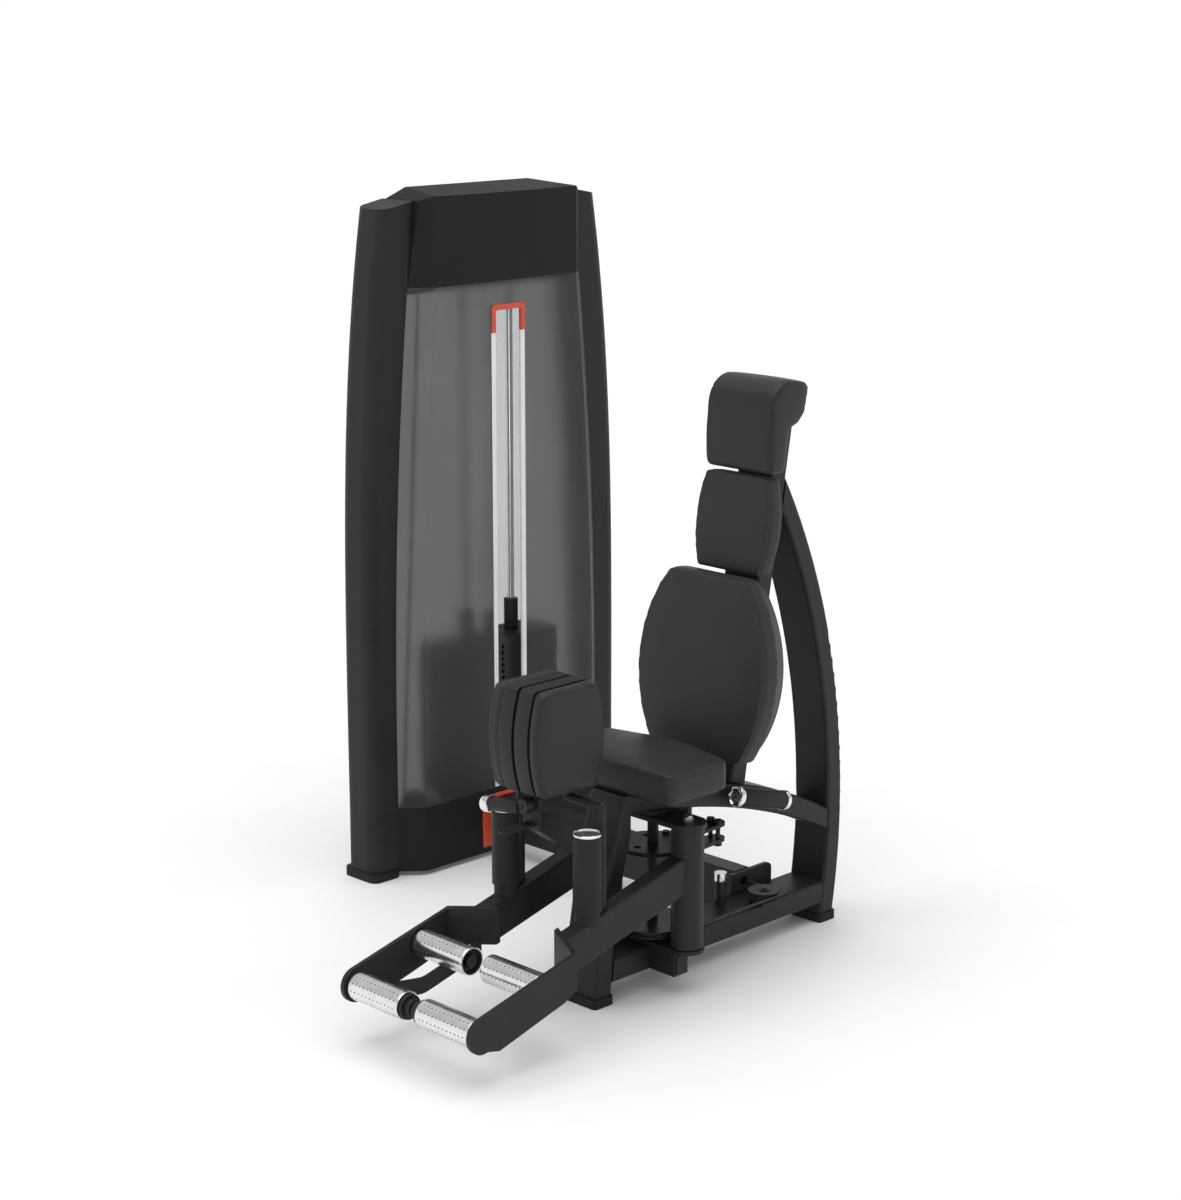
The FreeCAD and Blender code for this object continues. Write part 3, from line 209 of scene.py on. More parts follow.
def finish_cad_nodes():
    """Every carried-over node takes the finish of its slot in the record; a few get softened edges."""
    for part in frame["record"]["subparts"]:
        item = NODES[part["node"]]
        item.data.materials.clear()
        finish = SPECIAL_FINISH.get(part["node"], FINISH[part["material_slot"]])
        item.data.materials.append(finish)
    for node, width in BEVELLED.items():
        NODES[node].modifiers.new("joined", "WELD").merge_threshold = SAME_PLACE
        change = NODES[node].modifiers.new("edges", "BEVEL")
        change.width, change.segments, change.limit_method = width * MM, 3, "ANGLE"
        change.angle_limit = math.radians(40)


# ---------------------------------------------------------------- mesh helpers
def new_object(name, data):
    """An object with this data, in the scene."""
    item = bpy.data.objects.new(name, data)
    bpy.context.scene.collection.objects.link(item)
    return item


def from_bmesh(name, made, smooth=35.0):
    """An object from a bmesh, smooth except across sharp edges."""
    mesh = bpy.data.meshes.new(name)
    bmesh.ops.recalc_face_normals(made, faces=made.faces)
    made.to_mesh(mesh)
    made.free()
    for face in mesh.polygons:
        face.use_smooth = True
    mesh.set_sharp_from_angle(angle=math.radians(smooth))
    return new_object(name, mesh)


def smoothed(made, verts, factor):
    """One round of smoothing of these vertices."""
    bmesh.ops.smooth_vert(made, verts=verts, factor=factor, use_axis_x=True, use_axis_y=True,
                          use_axis_z=True)


def dress(item, material, body, slot, *replaced):
    """Gives a piece its material and its body, and hides the CAD nodes it stands for; the slot is not used.
    """
    item.data.materials.clear()
    item.data.materials.append(material)
    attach(item, body)
    if replaced:
        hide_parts(*replaced)
    return item


def welded(node):
    """A CAD node's mesh with its split vertices joined."""
    made = bmesh.new()
    made.from_mesh(NODES[node].data)
    bmesh.ops.remove_doubles(made, verts=made.verts, dist=SAME_PLACE)
    return made


def islands(made):
    """The separate solids of a bmesh, each as a list of vertices."""
    seen, found = set(), []
    for seed in made.verts:
        if seed in seen:
            continue
        seen.add(seed)
        waiting, group = [seed], []
        while waiting:
            vert = waiting.pop()
            group.append(vert)
            for edge in vert.link_edges:
                other = edge.other_vert(vert)
                if other not in seen:
                    seen.add(other)
                    waiting.append(other)
        found.append(group)
    return found


def bridge(made, rings):
    """Faces between neighbouring rings of vertices; a ring of one vertex is a tip."""
    for low, high in zip(rings, rings[1:]):
        turns = max(len(low), len(high))
        for step in range(turns):
            after = (step + 1) % turns
            corners = [low[step % len(low)], low[after % len(low)], high[after % len(high)],
                       high[step % len(high)]]
            unique = list(dict.fromkeys(corners))
            if len(unique) > 2:
                made.faces.new(unique)


def turned(name, outline, start, direction, turns=56):
    """A turned piece: (radius, distance along the axis) points revolved about a line."""
    made = bmesh.new()
    axis = Vector(direction).normalized()
    first = axis.orthogonal().normalized()
    second = axis.cross(first)
    rings = []
    for radius, along in outline:
        centre = Vector(start) + axis * along
        if radius < 1e-7:
            rings.append([made.verts.new(centre)])
            continue
        angles = [2 * math.pi * step / turns for step in range(turns)]
        rings.append([made.verts.new(centre + (first * math.cos(a) + second * math.sin(a)) * radius)
                      for a in angles])
    bridge(made, rings)
    return from_bmesh(name, made)


def softened(item, width):
    """Bevels a piece's sharp edges in its mesh."""
    made = bmesh.new()
    made.from_mesh(item.data)
    bmesh.ops.dissolve_limit(made, angle_limit=math.radians(1.0), verts=made.verts, edges=made.edges)
    sharp = [edge for edge in made.edges if len(edge.link_faces) == 2 and edge.calc_face_angle() > 0.6]
    bmesh.ops.bevel(made, geom=sharp, offset=width, segments=2, profile=0.6, affect="EDGES",
                    clamp_overlap=True)
    made.to_mesh(item.data)
    made.free()
    for face in item.data.polygons:
        face.use_smooth = True
    item.data.set_sharp_from_angle(angle=SHARP_EDGE)
    return item


def wire(name, points, radius):
    """A thin round welt along a closed line of points, as a mesh."""
    curve = bpy.data.curves.new(name, "CURVE")
    curve.dimensions = "3D"
    curve.bevel_depth, curve.bevel_resolution = radius, 2
    line = curve.splines.new("POLY")
    line.points.add(len(points) - 1)
    for point, place in zip(line.points, points):
        point.co = (*place, 1)
    line.use_cyclic_u = True
    helper = new_object(name + "_line", curve)
    bpy.context.view_layer.update()
    mesh = bpy.data.meshes.new_from_object(helper.evaluated_get(bpy.context.evaluated_depsgraph_get()))
    bpy.data.objects.remove(helper)
    for face in mesh.polygons:
        face.use_smooth = True
    mesh.name = name
    return new_object(name, mesh)


# ---------------------------------------------------------------- cushions
HEAD_ROLL = 20 * MM


def slab_kind(direction, level=0.8):
    """Sorts a slab's faces by the way they look: padded face, side band or back."""
    facing = Vector(direction)

    def kind(normal, centre):
        lean = normal.dot(facing)
        return "face" if lean > level else "back" if lean < -level else "band"
    return kind


def head_kind(normal, centre):
    """The head cushion rolls over its top: its flat ends are bands, its rear below the roll is the back."""
    if abs(normal.x) > 0.7:
        return "band"
    below_roll = centre.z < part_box("head_cushion")[1].z - HEAD_ROLL
    return "back" if normal.y > 0.5 and below_roll else "face"


# kind sorts its faces; voxel is the remesh size, swell the most a point may move out and set_back the
# way from the CAD edge to the seam, in mm; rounds is how often its edges are smoothed
Cushion = namedtuple("Cushion", "body kind voxel rounds swell set_back")
CUSHIONS = {
    "seat_cushion": Cushion("frame", slab_kind((0, 0, 1)), 4.5, 3, 9.0, (0, 0, -9)),
    "back_cushion": Cushion("frame", slab_kind((0, -1, 0)), 4.0, 4, 7.0, (0, 10, 0)),
    "middle_cushion": Cushion("frame", slab_kind((0, -1, 0)), 3.6, 4, 5.0, (0, 10, 0)),
    "head_cushion": Cushion("frame", head_kind, 4.0, 12, 4.0, (0, 0, 0)),
    "left_thigh_cushion": Cushion("left_arm", slab_kind((1, 0, 0)), 3.5, 4, 4.0, (-9, 0, 0)),
    "right_thigh_cushion": Cushion("right_arm", slab_kind((-1, 0, 0)), 3.5, 4, 4.0, (9, 0, 0)),
}
SHRINK = 0.8 * MM
STEP_ROUNDS = 7
BACK_REACH = 3 * MM
PIN_STEP, PIN_REACH, PIN_GAIN = 3 * MM, 14 * MM, 1.3
SEAM_STEP, SHORTEST_SEAM = 5 * MM, 200 * MM
GROOVE_REACH, GROOVE_DEPTH = 7.0 * MM, 1.7 * MM
WELT, WELT_SINK = 1.0 * MM, 0.75
SIM_FRAMES = 20


def seam_loops(made, kind):
    """Closed lines of points where a cushion's padded face meets its side band."""
    sort = {face: kind(face.normal, face.calc_center_median()) for face in made.faces}
    seam = [edge for edge in made.edges
            if {sort[face] for face in edge.link_faces} == {"face", "band"}]
    links = {}
    for edge in seam:
        for vert in edge.verts:
            links.setdefault(vert, []).append(edge)
    loops, left = [], set(seam)
    while left:
        edge = min(left, key=lambda e: e.index)
        left.remove(edge)
        chain = [edge.verts[0], edge.verts[1]]
        while True:
            onward = [e for e in links[chain[-1]] if e in left]
            if not onward:
                break
            left.remove(onward[0])
            chain.append(onward[0].other_vert(chain[-1]))
        loops.append([vert.co.copy() for vert in chain])
    return loops


def evenly(points, step):
    """Points at an even distance along a closed line of points."""
    line = points + [points[0]] if (points[0] - points[-1]).length > 0.1 * MM else points
    result, carried = [], 0.0
    for start, end in zip(line, line[1:]):
        run = (end - start).length
        while carried < run:
            result.append(start.lerp(end, carried / run))
            carried += step
        carried -= run
    return result


def nearest(points):
    """A search tree of points."""
    tree = KDTree(len(points))
    for number, point in enumerate(points):
        tree.insert(point, number)
    tree.balance()
    return tree


def remeshed(item, voxel, rounds, low, high, flat_back):
    """Voxel remesh and smoothing, which rounds all edges but the back's, then a stretch to the CAD size."""
    change = item.modifiers.new("remesh", "REMESH")
    change.mode, change.voxel_size = "VOXEL", voxel * MM
    bpy.context.view_layer.update()
    mesh = bpy.data.meshes.new_from_object(item.evaluated_get(bpy.context.evaluated_depsgraph_get()))
    item.modifiers.clear()
    item.data = mesh
    made = bmesh.new()
    made.from_mesh(mesh)
    loose = [vert for vert in made.verts if not flat_back(vert)]
    for chosen, times in ((made.verts, STEP_ROUNDS), (loose, rounds)):
        for _ in range(times):
            smoothed(made, chosen, 0.5)
    for axis in range(3):
        least = min(vert.co[axis] for vert in made.verts)
        most = max(vert.co[axis] for vert in made.verts)
        stretch = (high[axis] - low[axis] - 2 * SHRINK) / (most - least)
        for vert in made.verts:
            vert.co[axis] = low[axis] + SHRINK + (vert.co[axis] - least) * stretch
    made.to_mesh(mesh)
    made.free()


def start_cushion(name):
    """The starting shape: the CAD solid with rounded corners, its seams and back pinned."""
    plan = CUSHIONS[name]
    made = welded(name)
    made.edges.index_update()
    made.normal_update()
    loops = seam_loops(made, plan.kind)
    kinds = [plan.kind(face.normal, face.calc_center_median()) for face in made.faces]
    tree = BVHTree.FromBMesh(made)
    item = from_bmesh(name + "_pad", made)

    def flat_back(vert):
        _, _, face, away = tree.find_nearest(vert.co)
        return kinds[face] == "back" and away < BACK_REACH

    remeshed(item, plan.voxel, plan.rounds, *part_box(name), flat_back)
    near = nearest([point for loop in loops for point in evenly(loop, PIN_STEP)])
    pins = item.vertex_groups.new(name="pin")
    for vert in item.data.vertices:
        _, _, face, _ = tree.find_nearest(vert.co)
        held = 1.0 if kinds[face] == "back" else max(0.0, 1.0 - near.find(vert.co)[2] / PIN_REACH)
        pins.add([vert.index], min(1.0, held * PIN_GAIN), "REPLACE")
    return item, loops


def add_cloth(item):
    """Air pressure inside a closed cloth skin, without gravity."""
    cloth = item.modifiers.new("cloth", "CLOTH")
    setting = cloth.settings
    setting.quality, setting.mass = 4, 0.3
    setting.tension_stiffness = setting.compression_stiffness = 12
    setting.bending_stiffness = 0.6
    setting.use_pressure = True
    setting.uniform_pressure_force = 4
    setting.effector_weights.gravity = 0
    setting.vertex_group_mass = "pin"
    setting.pin_stiffness = 1.0
    cloth.collision_settings.use_collision = False
    cloth.point_cache.frame_start, cloth.point_cache.frame_end = 1, SIM_FRAMES


def cap_moves(item, rest, most):
    """Takes the simulated skin, with no point further than the cap from where it started."""
    mesh = bpy.data.meshes.new_from_object(item.evaluated_get(bpy.context.evaluated_depsgraph_get()))
    moved = np.zeros(len(rest) * 3, np.float32)
    mesh.vertices.foreach_get("co", moved)
    shift = moved.reshape(-1, 3) - rest
    length = np.linalg.norm(shift, axis=1, keepdims=True)
    soft = most * np.tanh(length / most)
    result = rest + shift * (soft / np.maximum(length, 1e-9))
    item.modifiers.clear()
    item.data.vertices.foreach_set("co", result.astype(np.float32).ravel())
    item.data.update()
    bpy.data.meshes.remove(mesh)


def girth(loop):
    """The length round a closed line of points."""
    return sum((loop[k] - loop[k - 1]).length for k in range(len(loop)))


def sew(name, item, loops):
    """Presses a groove along each seam, adds a subdivision and lays a welt in the groove."""
    plan = CUSHIONS[name]
    loops = [loop for loop in loops if girth(loop) > SHORTEST_SEAM]
    made = bmesh.new()
    made.from_mesh(item.data)
    for _ in range(2):
        smoothed(made, made.verts, 0.4)
    skin = BVHTree.FromBMesh(made)
    lines = []
    for loop in loops:
        snapped = []
        for point in evenly(loop, SEAM_STEP):
            place, normal, _, _ = skin.find_nearest(point + Vector(plan.set_back) * MM)
            snapped.append((place, normal))
        for _ in range(4):
            count = len(snapped)
            snapped = [((snapped[k - 1][0] + snapped[k][0] * 2 + snapped[(k + 1) % count][0]) / 4,
                        snapped[k][1]) for k in range(count)]
        lines.append(snapped)
    near = nearest([place for line in lines for place, _ in line])
    made.normal_update()
    for vert in made.verts:
        gap = near.find(vert.co)[2]
        if gap < GROOVE_REACH:
            vert.co -= vert.normal * GROOVE_DEPTH * (1 - (gap / GROOVE_REACH) ** 2) ** 2
    made.to_mesh(item.data)
    made.free()
    for face in item.data.polygons:
        face.use_smooth = True
    refine = item.modifiers.new("subdivision", "SUBSURF")
    refine.levels = refine.render_levels = 1
    dress(item, VINYL, plan.body, "upholstery", name)
    for number, line in enumerate(lines, start=1):
        points = [place - normal * GROOVE_DEPTH * WELT_SINK for place, normal in line]
        welt = wire(f"{name}_welt_{number}", points, WELT)
        dress(welt, VINYL, plan.body, "upholstery")


def cushions():
    """All six cushions, swelled together by one short cloth simulation."""
    started = {name: start_cushion(name) for name in CUSHIONS}
    rests = {}
    for name, (item, _) in started.items():
        co = np.zeros(len(item.data.vertices) * 3, np.float32)
        item.data.vertices.foreach_get("co", co)
        rests[name] = co.reshape(-1, 3).copy()
        add_cloth(item)
    for number in range(1, SIM_FRAMES + 1):
        bpy.context.scene.frame_set(number)
    for name, (item, _) in started.items():
        cap_moves(item, rests[name], CUSHIONS[name].swell * MM)
    bpy.context.scene.frame_set(1)
    for name, (item, loops) in started.items():
        sew(name, item, loops)


# ---------------------------------------------------------------- foot rollers
ROLLER_ROWS, ROLLER_HOLES = 12, 12
HOLE_RADIUS, END_MARGIN, WALL = 1.7 * MM, 7.5 * MM, 2.6 * MM
AXLE_HOLE = 8.4 * MM
CUP_DEPTH = {"front": 4 * MM, "rear": 9 * MM}


def perforated_shell(name, low, high):
    """A chrome tube along X with rows of small round holes right round it."""
    made = bmesh.new()
    radius = (high.z - low.z) / 2
    middle_y, middle_z = (low.y + high.y) / 2, (low.z + high.z) / 2
    pitch = (high.x - low.x - 2 * END_MARGIN) / ROLLER_HOLES
    turn = 2 * math.pi / ROLLER_ROWS

    def spot(x, angle, depth=0.0):
        reach = radius - depth
        return made.verts.new((x, middle_y + reach * math.cos(angle), middle_z + reach * math.sin(angle)))

    def cell(x, angle):
        """One hole with the patch of tube around it."""
        edge = [(-1, k / 2 - 1) for k in range(4)] + [(k / 2 - 1, 1) for k in range(4)]
        edge += [(1, 1 - k / 2) for k in range(4)] + [(1 - k / 2, -1) for k in range(4)]
        rings = [[], [], [], []]
        for u, v in edge:
            across, around = u * pitch / 2, v * turn / 2
            heading = math.atan2(around * radius, across)
            rim = (HOLE_RADIUS * math.cos(heading), HOLE_RADIUS * math.sin(heading) / radius)
            rings[0].append(spot(x + across, angle + around))
            rings[1].append(spot(x + (across + rim[0]) / 2, angle + (around + rim[1]) / 2))
            rings[2].append(spot(x + rim[0], angle + rim[1]))
            rings[3].append(spot(x + rim[0], angle + rim[1], WALL))
        bridge(made, rings)

    for row in range(ROLLER_ROWS):
        for hole in range(ROLLER_HOLES):
            cell(low.x + END_MARGIN + pitch * (hole + 0.5), turn * row)
    steps = ROLLER_ROWS * 4
    for x, inward in ((low.x, 1), (high.x, -1)):
        levels = [(END_MARGIN, 0), (0.7 * MM, 0), (0.2 * MM, 0.2 * MM), (0, 0.7 * MM), (0, WALL),
                  (END_MARGIN, WALL)]
        rings = [[spot(x + inward * along, 2 * math.pi * (k / steps) + turn / 2, depth) for k in range(steps)]
                 for along, depth in levels]
        bridge(made, rings)
    bmesh.ops.remove_doubles(made, verts=made.verts, dist=0.02 * MM)
    return from_bmesh(name, made, 40)


def roller(side, place):
    """A perforated roller with a dark core and cupped end caps round the axle."""
    node = f"{side}_{place}_roller"
    low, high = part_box(node)
    dress(perforated_shell(node + "_tube", low, high), ROLLER, node, "chrome_part", node)
    radius = (high.z - low.z) / 2
    inner, length, deep = radius - WALL - 0.1 * MM, high.x - low.x, CUP_DEPTH[place]
    outline = [(AXLE_HOLE, deep + 3 * MM), (14 * MM, deep + 3 * MM), (15 * MM, deep), (inner - 4 * MM, deep),
               (inner - 2.5 * MM, 1.5 * MM), (inner - 0.6 * MM, 1.0 * MM), (inner, 2 * MM)]
    outline += [(r, length - along) for r, along in reversed(outline)]
    core = turned(node + "_core", outline, (low.x, (low.y + high.y) / 2, (low.z + high.z) / 2), (1, 0, 0))
    dress(core, SHELL, node, "grip_rubber")


# ---------------------------------------------------------------- grips, caps, trim and cable strand
SLEEVE_LENGTH = 168 * MM
SEAT_GRIP_RADIUS = 21 * MM
LEVER_RUN = Vector((-0.987, 0, -0.16)).normalized()
LEVER_BOSS_RADIUS = 16 * MM
TRIM_EDGE = 0.9 * MM
STACK_TRAVEL, STRAND_RINGS = 0.14, 12


def arm_grip(side):
    """The upright grip: a narrower foot, a rubber sleeve, a chrome rim and a recessed disc."""
    node = f"{side}_grip"
    low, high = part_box(node)
    radius, centre = (high.x - low.x) / 2, (low + high) / 2
    base = (centre.x, centre.y, low.z)
    tall = high.z - low.z
    sleeve_low = tall - SLEEVE_LENGTH
    sleeve = [(0, 0), (radius - 4 * MM, 0), (radius - 4 * MM, sleeve_low), (radius - 1.2 * MM, sleeve_low),
              (radius, sleeve_low + 1.5 * MM), (radius, tall - 6 * MM), (radius - 1 * MM, tall - 5 * MM),
              (0, tall - 5 * MM)]
    dress(turned(node + "_sleeve", sleeve, base, (0, 0, 1)), RUBBER, f"{side}_arm", "grip_rubber", node)
    rim = [(radius - 6 * MM, tall - 5 * MM), (radius - 0.4 * MM, tall - 5 * MM), (radius, tall - 4 * MM),
           (radius - 0.5 * MM, tall - 1.2 * MM), (radius - 2 * MM, tall),
           (radius - 4.5 * MM, tall - 0.6 * MM), (radius - 6 * MM, tall - 4 * MM),
           (radius - 6 * MM, tall - 5 * MM)]
    dress(turned(node + "_rim", rim, base, (0, 0, 1)), CHROME, f"{side}_arm", "chrome_part")
    disc = [(radius - 5.9 * MM, tall - 4.9 * MM), (radius - 7 * MM, tall - 4 * MM), (9 * MM, tall - 3.4 * MM),
            (7.5 * MM, tall - 4.2 * MM), (0, tall - 4.2 * MM)]
    dress(turned(node + "_disc", disc, base, (0, 0, 1)), DISC, f"{side}_arm", "grip_rubber")


def line_of(points):
    """The axis of a long round piece: its two end centres."""
    cloud = np.array([list(p) for p in points])
    middle = cloud.mean(0)
    main = np.linalg.svd(cloud - middle)[2][0]
    along = (cloud - middle) @ main
    ends = [Vector(middle + main * along.min()), Vector(middle + main * along.max())]
    return sorted(ends, key=lambda end: end.y)


def seat_grips():
    """Turned sleeves with chrome caps and rings, along the sleeves' own axes."""
    made = welded("seat_grip_sleeves")
    groups = sorted(islands(made), key=lambda g: min(v.co.x for v in g))
    for number, group in enumerate(groups):
        side = SIDES[1 - number]
        front, rear = line_of([v.co for v in group])
        run, length, radius = (rear - front).normalized(), (rear - front).length, SEAT_GRIP_RADIUS
        replaced = ("seat_grip_sleeves",) if number == 0 else ()
        sleeve = [(12 * MM, 0), (radius - 1.5 * MM, 0), (radius - 0.6 * MM, 1.5 * MM),
                  (radius - 0.6 * MM, 9 * MM), (radius, 11 * MM), (radius, length - 11 * MM),
                  (radius - 0.6 * MM, length - 9 * MM), (radius - 0.6 * MM, length), (12 * MM, length)]
        dress(turned(f"{side}_seat_grip_sleeve", sleeve, front, run), RUBBER, "frame", "grip_rubber",
              *replaced)
        replaced = ("seat_grip_caps",) if number == 0 else ()
        cap = [(0, -9 * MM), (8 * MM, -9 * MM), (9.5 * MM, -7 * MM), (13 * MM, -7 * MM), (15 * MM, -12 * MM),
               (17.5 * MM, -13.6 * MM), (20.5 * MM, -12.5 * MM), (22.8 * MM, -8 * MM), (22.8 * MM, -3 * MM),
               (21.6 * MM, -0.6 * MM), (12 * MM, -0.3 * MM)]
        dress(turned(f"{side}_seat_grip_cap", cap, front, run), CHROME, "frame", "chrome_part", *replaced)
        ring = [(12.4 * MM, 0.3 * MM), (21.4 * MM, 0.4 * MM), (22.4 * MM, 2 * MM), (22.4 * MM, 10 * MM),
                (21 * MM, 11.8 * MM), (12.4 * MM, 11.8 * MM)]
        dress(turned(f"{side}_seat_grip_ring", ring, rear, run), CHROME, "frame", "chrome_part")
    made.free()


def lever_handle():
    """The range lever: a boss on its pin, a rubber sleeve and a chrome end cap with a hollow face."""
    low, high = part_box("range_lever")
    run = LEVER_RUN
    boss_x, boss_z = high.x - LEVER_BOSS_RADIUS, high.z - LEVER_BOSS_RADIUS
    boss = [(4.1 * MM, 0.6 * MM), (15.2 * MM, 0), (16 * MM, 0.8 * MM), (16 * MM, 23.2 * MM),
            (15.2 * MM, 24 * MM), (4.1 * MM, 23.4 * MM), (4.1 * MM, 0.6 * MM)]
    item = turned("range_lever_boss", boss, (boss_x, low.y + 9 * MM, boss_z), (0, 1, 0))
    dress(item, PAINT, "lever", "grip_rubber", "range_lever")
    root = Vector((boss_x, (low.y + high.y) / 2, boss_z - 2 * MM)) + run * 12 * MM
    sleeve = [(0, 0), (13 * MM, 0), (15 * MM, 2 * MM), (15 * MM, 86 * MM), (14 * MM, 88 * MM), (0, 88 * MM)]
    dress(turned("range_lever_sleeve", sleeve, root, run), RUBBER, "lever", "grip_rubber")
    cap = [(14.5 * MM, 86 * MM), (17.5 * MM, 87 * MM), (18 * MM, 90 * MM), (18 * MM, 103 * MM),
           (16.5 * MM, 108 * MM), (13 * MM, 108 * MM), (9 * MM, 103 * MM), (0, 102 * MM)]
    dress(turned("range_lever_cap", cap, root, run), CHROME, "lever", "chrome_part")


def trim():
    """The slot's orange arch, its two white strips and the low orange arch, with softened edges."""
    made = welded("slot_trim")
    top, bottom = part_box("slot_trim")[1].z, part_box("slot_trim")[0].z
    for group in islands(made):
        keep = bmesh.new()
        faces = dict.fromkeys(face for vert in group for face in vert.link_faces)
        copies = {vert: keep.verts.new(vert.co) for vert in group}
        for face in faces:
            keep.faces.new([copies[vert] for vert in face.verts])
        low = min(vert.co.z for vert in group)
        high = max(vert.co.z for vert in group)
        if high > top - 5 * MM:
            item, material, replaced = from_bmesh("slot_arch", keep), ORANGE, ("slot_trim",)
        elif low < bottom + 5 * MM:
            item, material, replaced = from_bmesh("channel_arch", keep), ORANGE, ()
        else:
            end = "near" if min(vert.co.y for vert in group) > 0.3 else "far"
            item, material, replaced = from_bmesh(f"slot_strip_{end}", keep), WHITE, ()
        softened(item, TRIM_EDGE)
        dress(item, material, "frame", "trim_orange", *replaced)
    made.free()


def strand():
    """The cable's lifting strand, a round tube that moves with the stack."""
    low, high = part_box("lifting_strand")
    middle, length = (low + high) / 2, high.z - low.z
    radius = (high.x - low.x) / 2
    outline = [(radius, length * step / STRAND_RINGS) for step in range(STRAND_RINGS + 1)]
    outline = [(0.0, 0.0)] + outline + [(0.0, length)]
    item = turned("cable_strand", outline, (middle.x, middle.y, low.z), (0, 0, 1), turns=24)
    dress(item, SLEEVE, "stack", "cable_cover", "lifting_strand")
    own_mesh(item)


# ---------------------------------------------------------------- fasteners
SCREW_SIDES = 24
# shares of the head's radius
HEAD_HEIGHT, SOCKET_RADIUS, SOCKET_FLOOR = 0.58, 0.40, 0.2
PANEL_SCREW, BOARD_SCREW, PIVOT_BOLT = 5.0, 5.0, 9.0


def screws(name, places, direction, size, material=STEEL):
    """Button-head screws with a six-sided socket, in one piece; size is the head's radius in mm."""
    facing = Vector(direction).normalized()
    turn = Vector((0, 0, 1)).rotation_difference(facing).to_matrix().to_4x4()
    angles = [k * math.pi * 2 / SCREW_SIDES for k in range(SCREW_SIDES)]
    head = [(1, 0), (1, 0.25), (0.85, 0.48), (0.55, HEAD_HEIGHT)]
    levels = [(height, [reach] * SCREW_SIDES) for reach, height in head]
    socket = [SOCKET_RADIUS / math.cos(angle % (math.pi / 3) - math.pi / 6) for angle in angles]
    levels += [(HEAD_HEIGHT, socket), (SOCKET_FLOOR, socket)]
    joined = bmesh.new()
    for place in places:
        local = Matrix.Translation(place) @ turn @ Matrix.Scale(size * MM, 4)
        rings = [[joined.verts.new(local @ Vector((reach * math.cos(angle), reach * math.sin(angle), height)))
                  for angle, reach in zip(angles, reaches)] for height, reaches in levels]
        bridge(joined, rings)
        joined.faces.new(rings[-1])
        joined.faces.new(reversed(rings[0]))
    return dress(from_bmesh(name, joined, 30), material, "frame", "steel_part")


def fasteners():
    """Screws that hold the back panel and the seat board, and the bolts on the pivot pins."""
    low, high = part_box("tower_back_panel")
    rows = [low.z + (high.z - low.z) * share for share in (0.03, 0.34, 0.66, 0.97)]
    places = [Vector((low.x, y, z)) for y in (low.y + 75 * MM, high.y - 75 * MM) for z in rows]
    screws("back_panel_screws", places, (-1, 0, 0), PANEL_SCREW)
    low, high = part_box("seat_cushion")
    places = [Vector((x, y, low.z - 6.3 * MM)) for x in (low.x + 70 * MM, high.x - 70 * MM)
              for y in (low.y + 50 * MM, high.y - 50 * MM)]
    screws("seat_board_screws", places, (0, 0, -1), BOARD_SCREW)
    pin_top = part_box("pivot_pins")[1].z
    for side in SIDES:
        low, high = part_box(f"{side}_pivot_tube")
        centre = (low + high) / 2
        screws(f"{side}_pivot_bolt", [Vector((centre.x, centre.y, pin_top))], (0, 0, 1), PIVOT_BOLT, CHROME)


# ---------------------------------------------------------------- camera, light and floor
CAMERA_AT = Vector((4.0085, -3.83775, 2.100))
CAMERA_LOOKS = Vector((-0.6875, 0.6875, -0.2341))
CAMERA_LENS = 77.34
FLOOR_RADIUS = 40.0
SKY_STRENGTH = 2.0
# (height, brightness) of the surround: height 0 is the horizon, 1 straight up
SKY = [(0.0, 0.5), (0.26, 0.5), (0.38, 0.27), (0.76, 0.29), (0.88, 1.0)]
KEY_ENERGY, KEY_SPREAD, KEY_SHINES = 0.6, 50, Vector((0.15, 0.55, -1.0))


def aimed(item, direction):
    """Turns a camera or a light to look along a direction."""
    item.rotation_mode = "QUATERNION"
    item.rotation_quaternion = direction.to_track_quat("-Z", "Y")


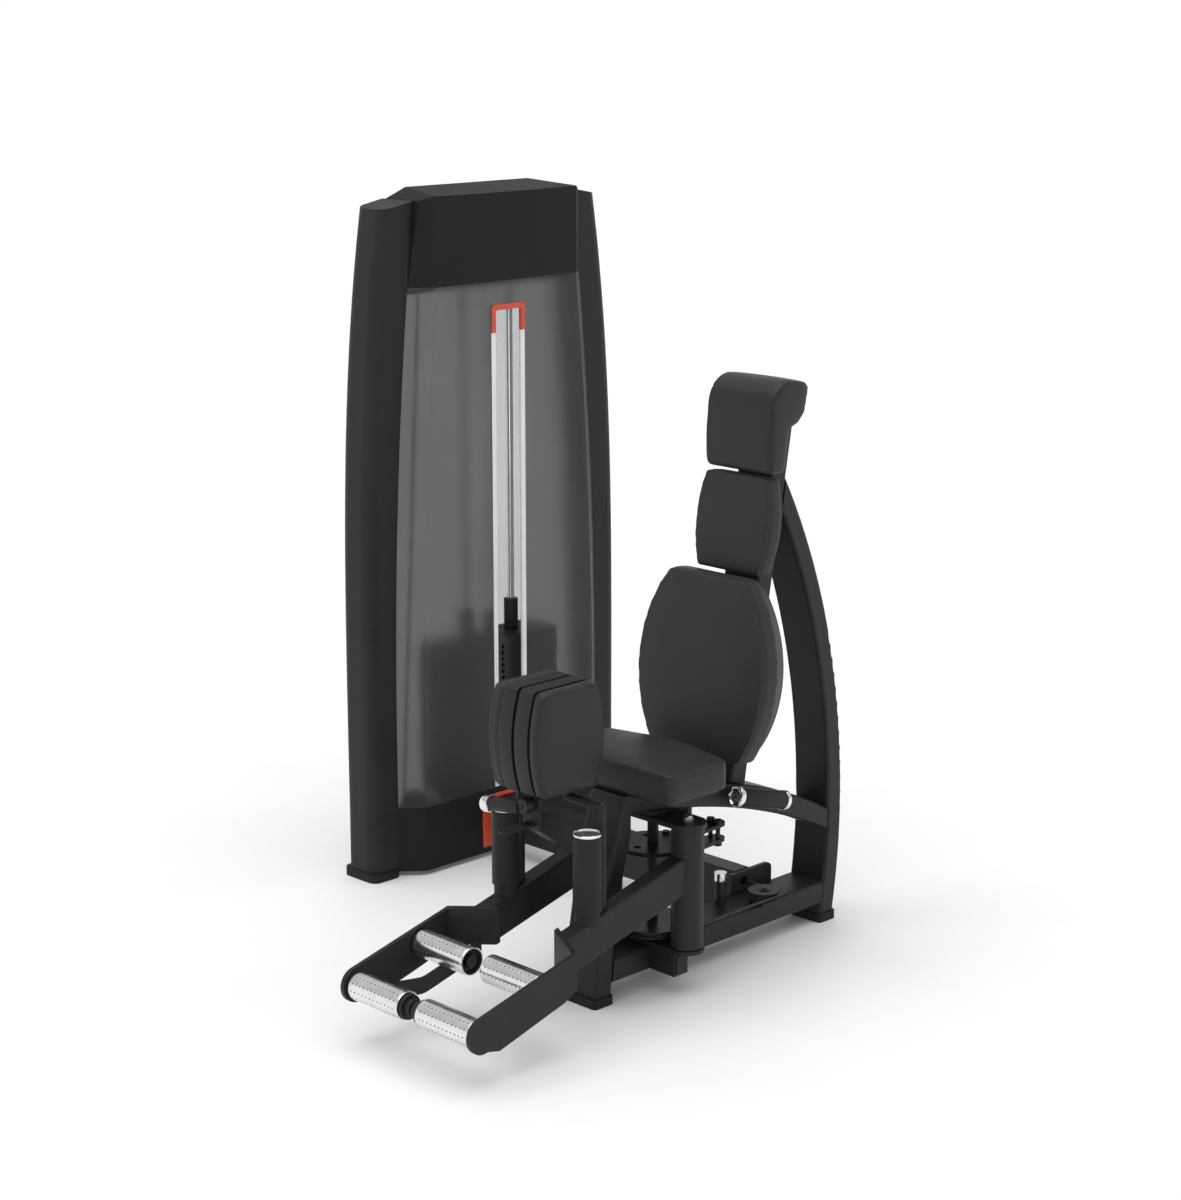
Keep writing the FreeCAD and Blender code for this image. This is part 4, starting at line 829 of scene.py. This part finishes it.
def camera():
    """The view of the whole machine from its front left."""
    data = bpy.data.cameras.new("camera")
    data.lens, data.sensor_width = CAMERA_LENS, 36.0
    data.clip_end = 200.0
    item = new_object("camera", data)
    item.location = CAMERA_AT
    aimed(item, CAMERA_LOOKS)
    bpy.context.scene.camera = item


def floor():
    """A wide pale disc under the machine."""
    made = bmesh.new()
    bmesh.ops.create_circle(made, cap_ends=True, segments=96, radius=FLOOR_RADIUS)
    item = from_bmesh("floor", made)
    pale = surface("pale_floor", shade(0.86, (1, 1, 1)), shade(0.88, (1, 1, 1)), (0.5, 0.6), specular=0.15,
                   cloud=2.0, grain=200.0, depth=0.05)
    item.data.materials.append(pale)


def light():
    """A white studio: a pale surround, brightest overhead, and one broad soft light from above the front."""
    world = bpy.data.worlds.new("studio")
    bpy.context.scene.world = world
    world.use_nodes = True
    tree = world.node_tree
    direction = tree.nodes.new("ShaderNodeTexCoord").outputs["Generated"]
    split = tree.nodes.new("ShaderNodeSeparateXYZ")
    tree.links.new(direction, split.inputs["Vector"])
    ramp = tree.nodes.new("ShaderNodeValToRGB")
    tree.links.new(split.outputs["Z"], ramp.inputs["Fac"])
    ramp.color_ramp.elements.remove(ramp.color_ramp.elements[0])
    for number, (height, bright) in enumerate(SKY):
        stop = ramp.color_ramp.elements[0] if number == 0 else ramp.color_ramp.elements.new(height)
        stop.position, stop.color = height, (bright, bright, bright, 1)
    tree.links.new(ramp.outputs["Color"], tree.nodes["Background"].inputs["Color"])
    tree.nodes["Background"].inputs["Strength"].default_value = SKY_STRENGTH
    data = bpy.data.lights.new("key", "SUN")
    data.energy, data.angle = KEY_ENERGY, math.radians(KEY_SPREAD)
    aimed(new_object("key", data), KEY_SHINES)
    bpy.context.scene.view_settings.view_transform = "Standard"


# ---------------------------------------------------------------- build
camera()
finish_cad_nodes()
cushions()
for side_name in SIDES:
    for where in ("front", "rear"):
        roller(side_name, where)
    arm_grip(side_name)
seat_grips()
lever_handle()
trim()
fasteners()
strand()
floor()
light()
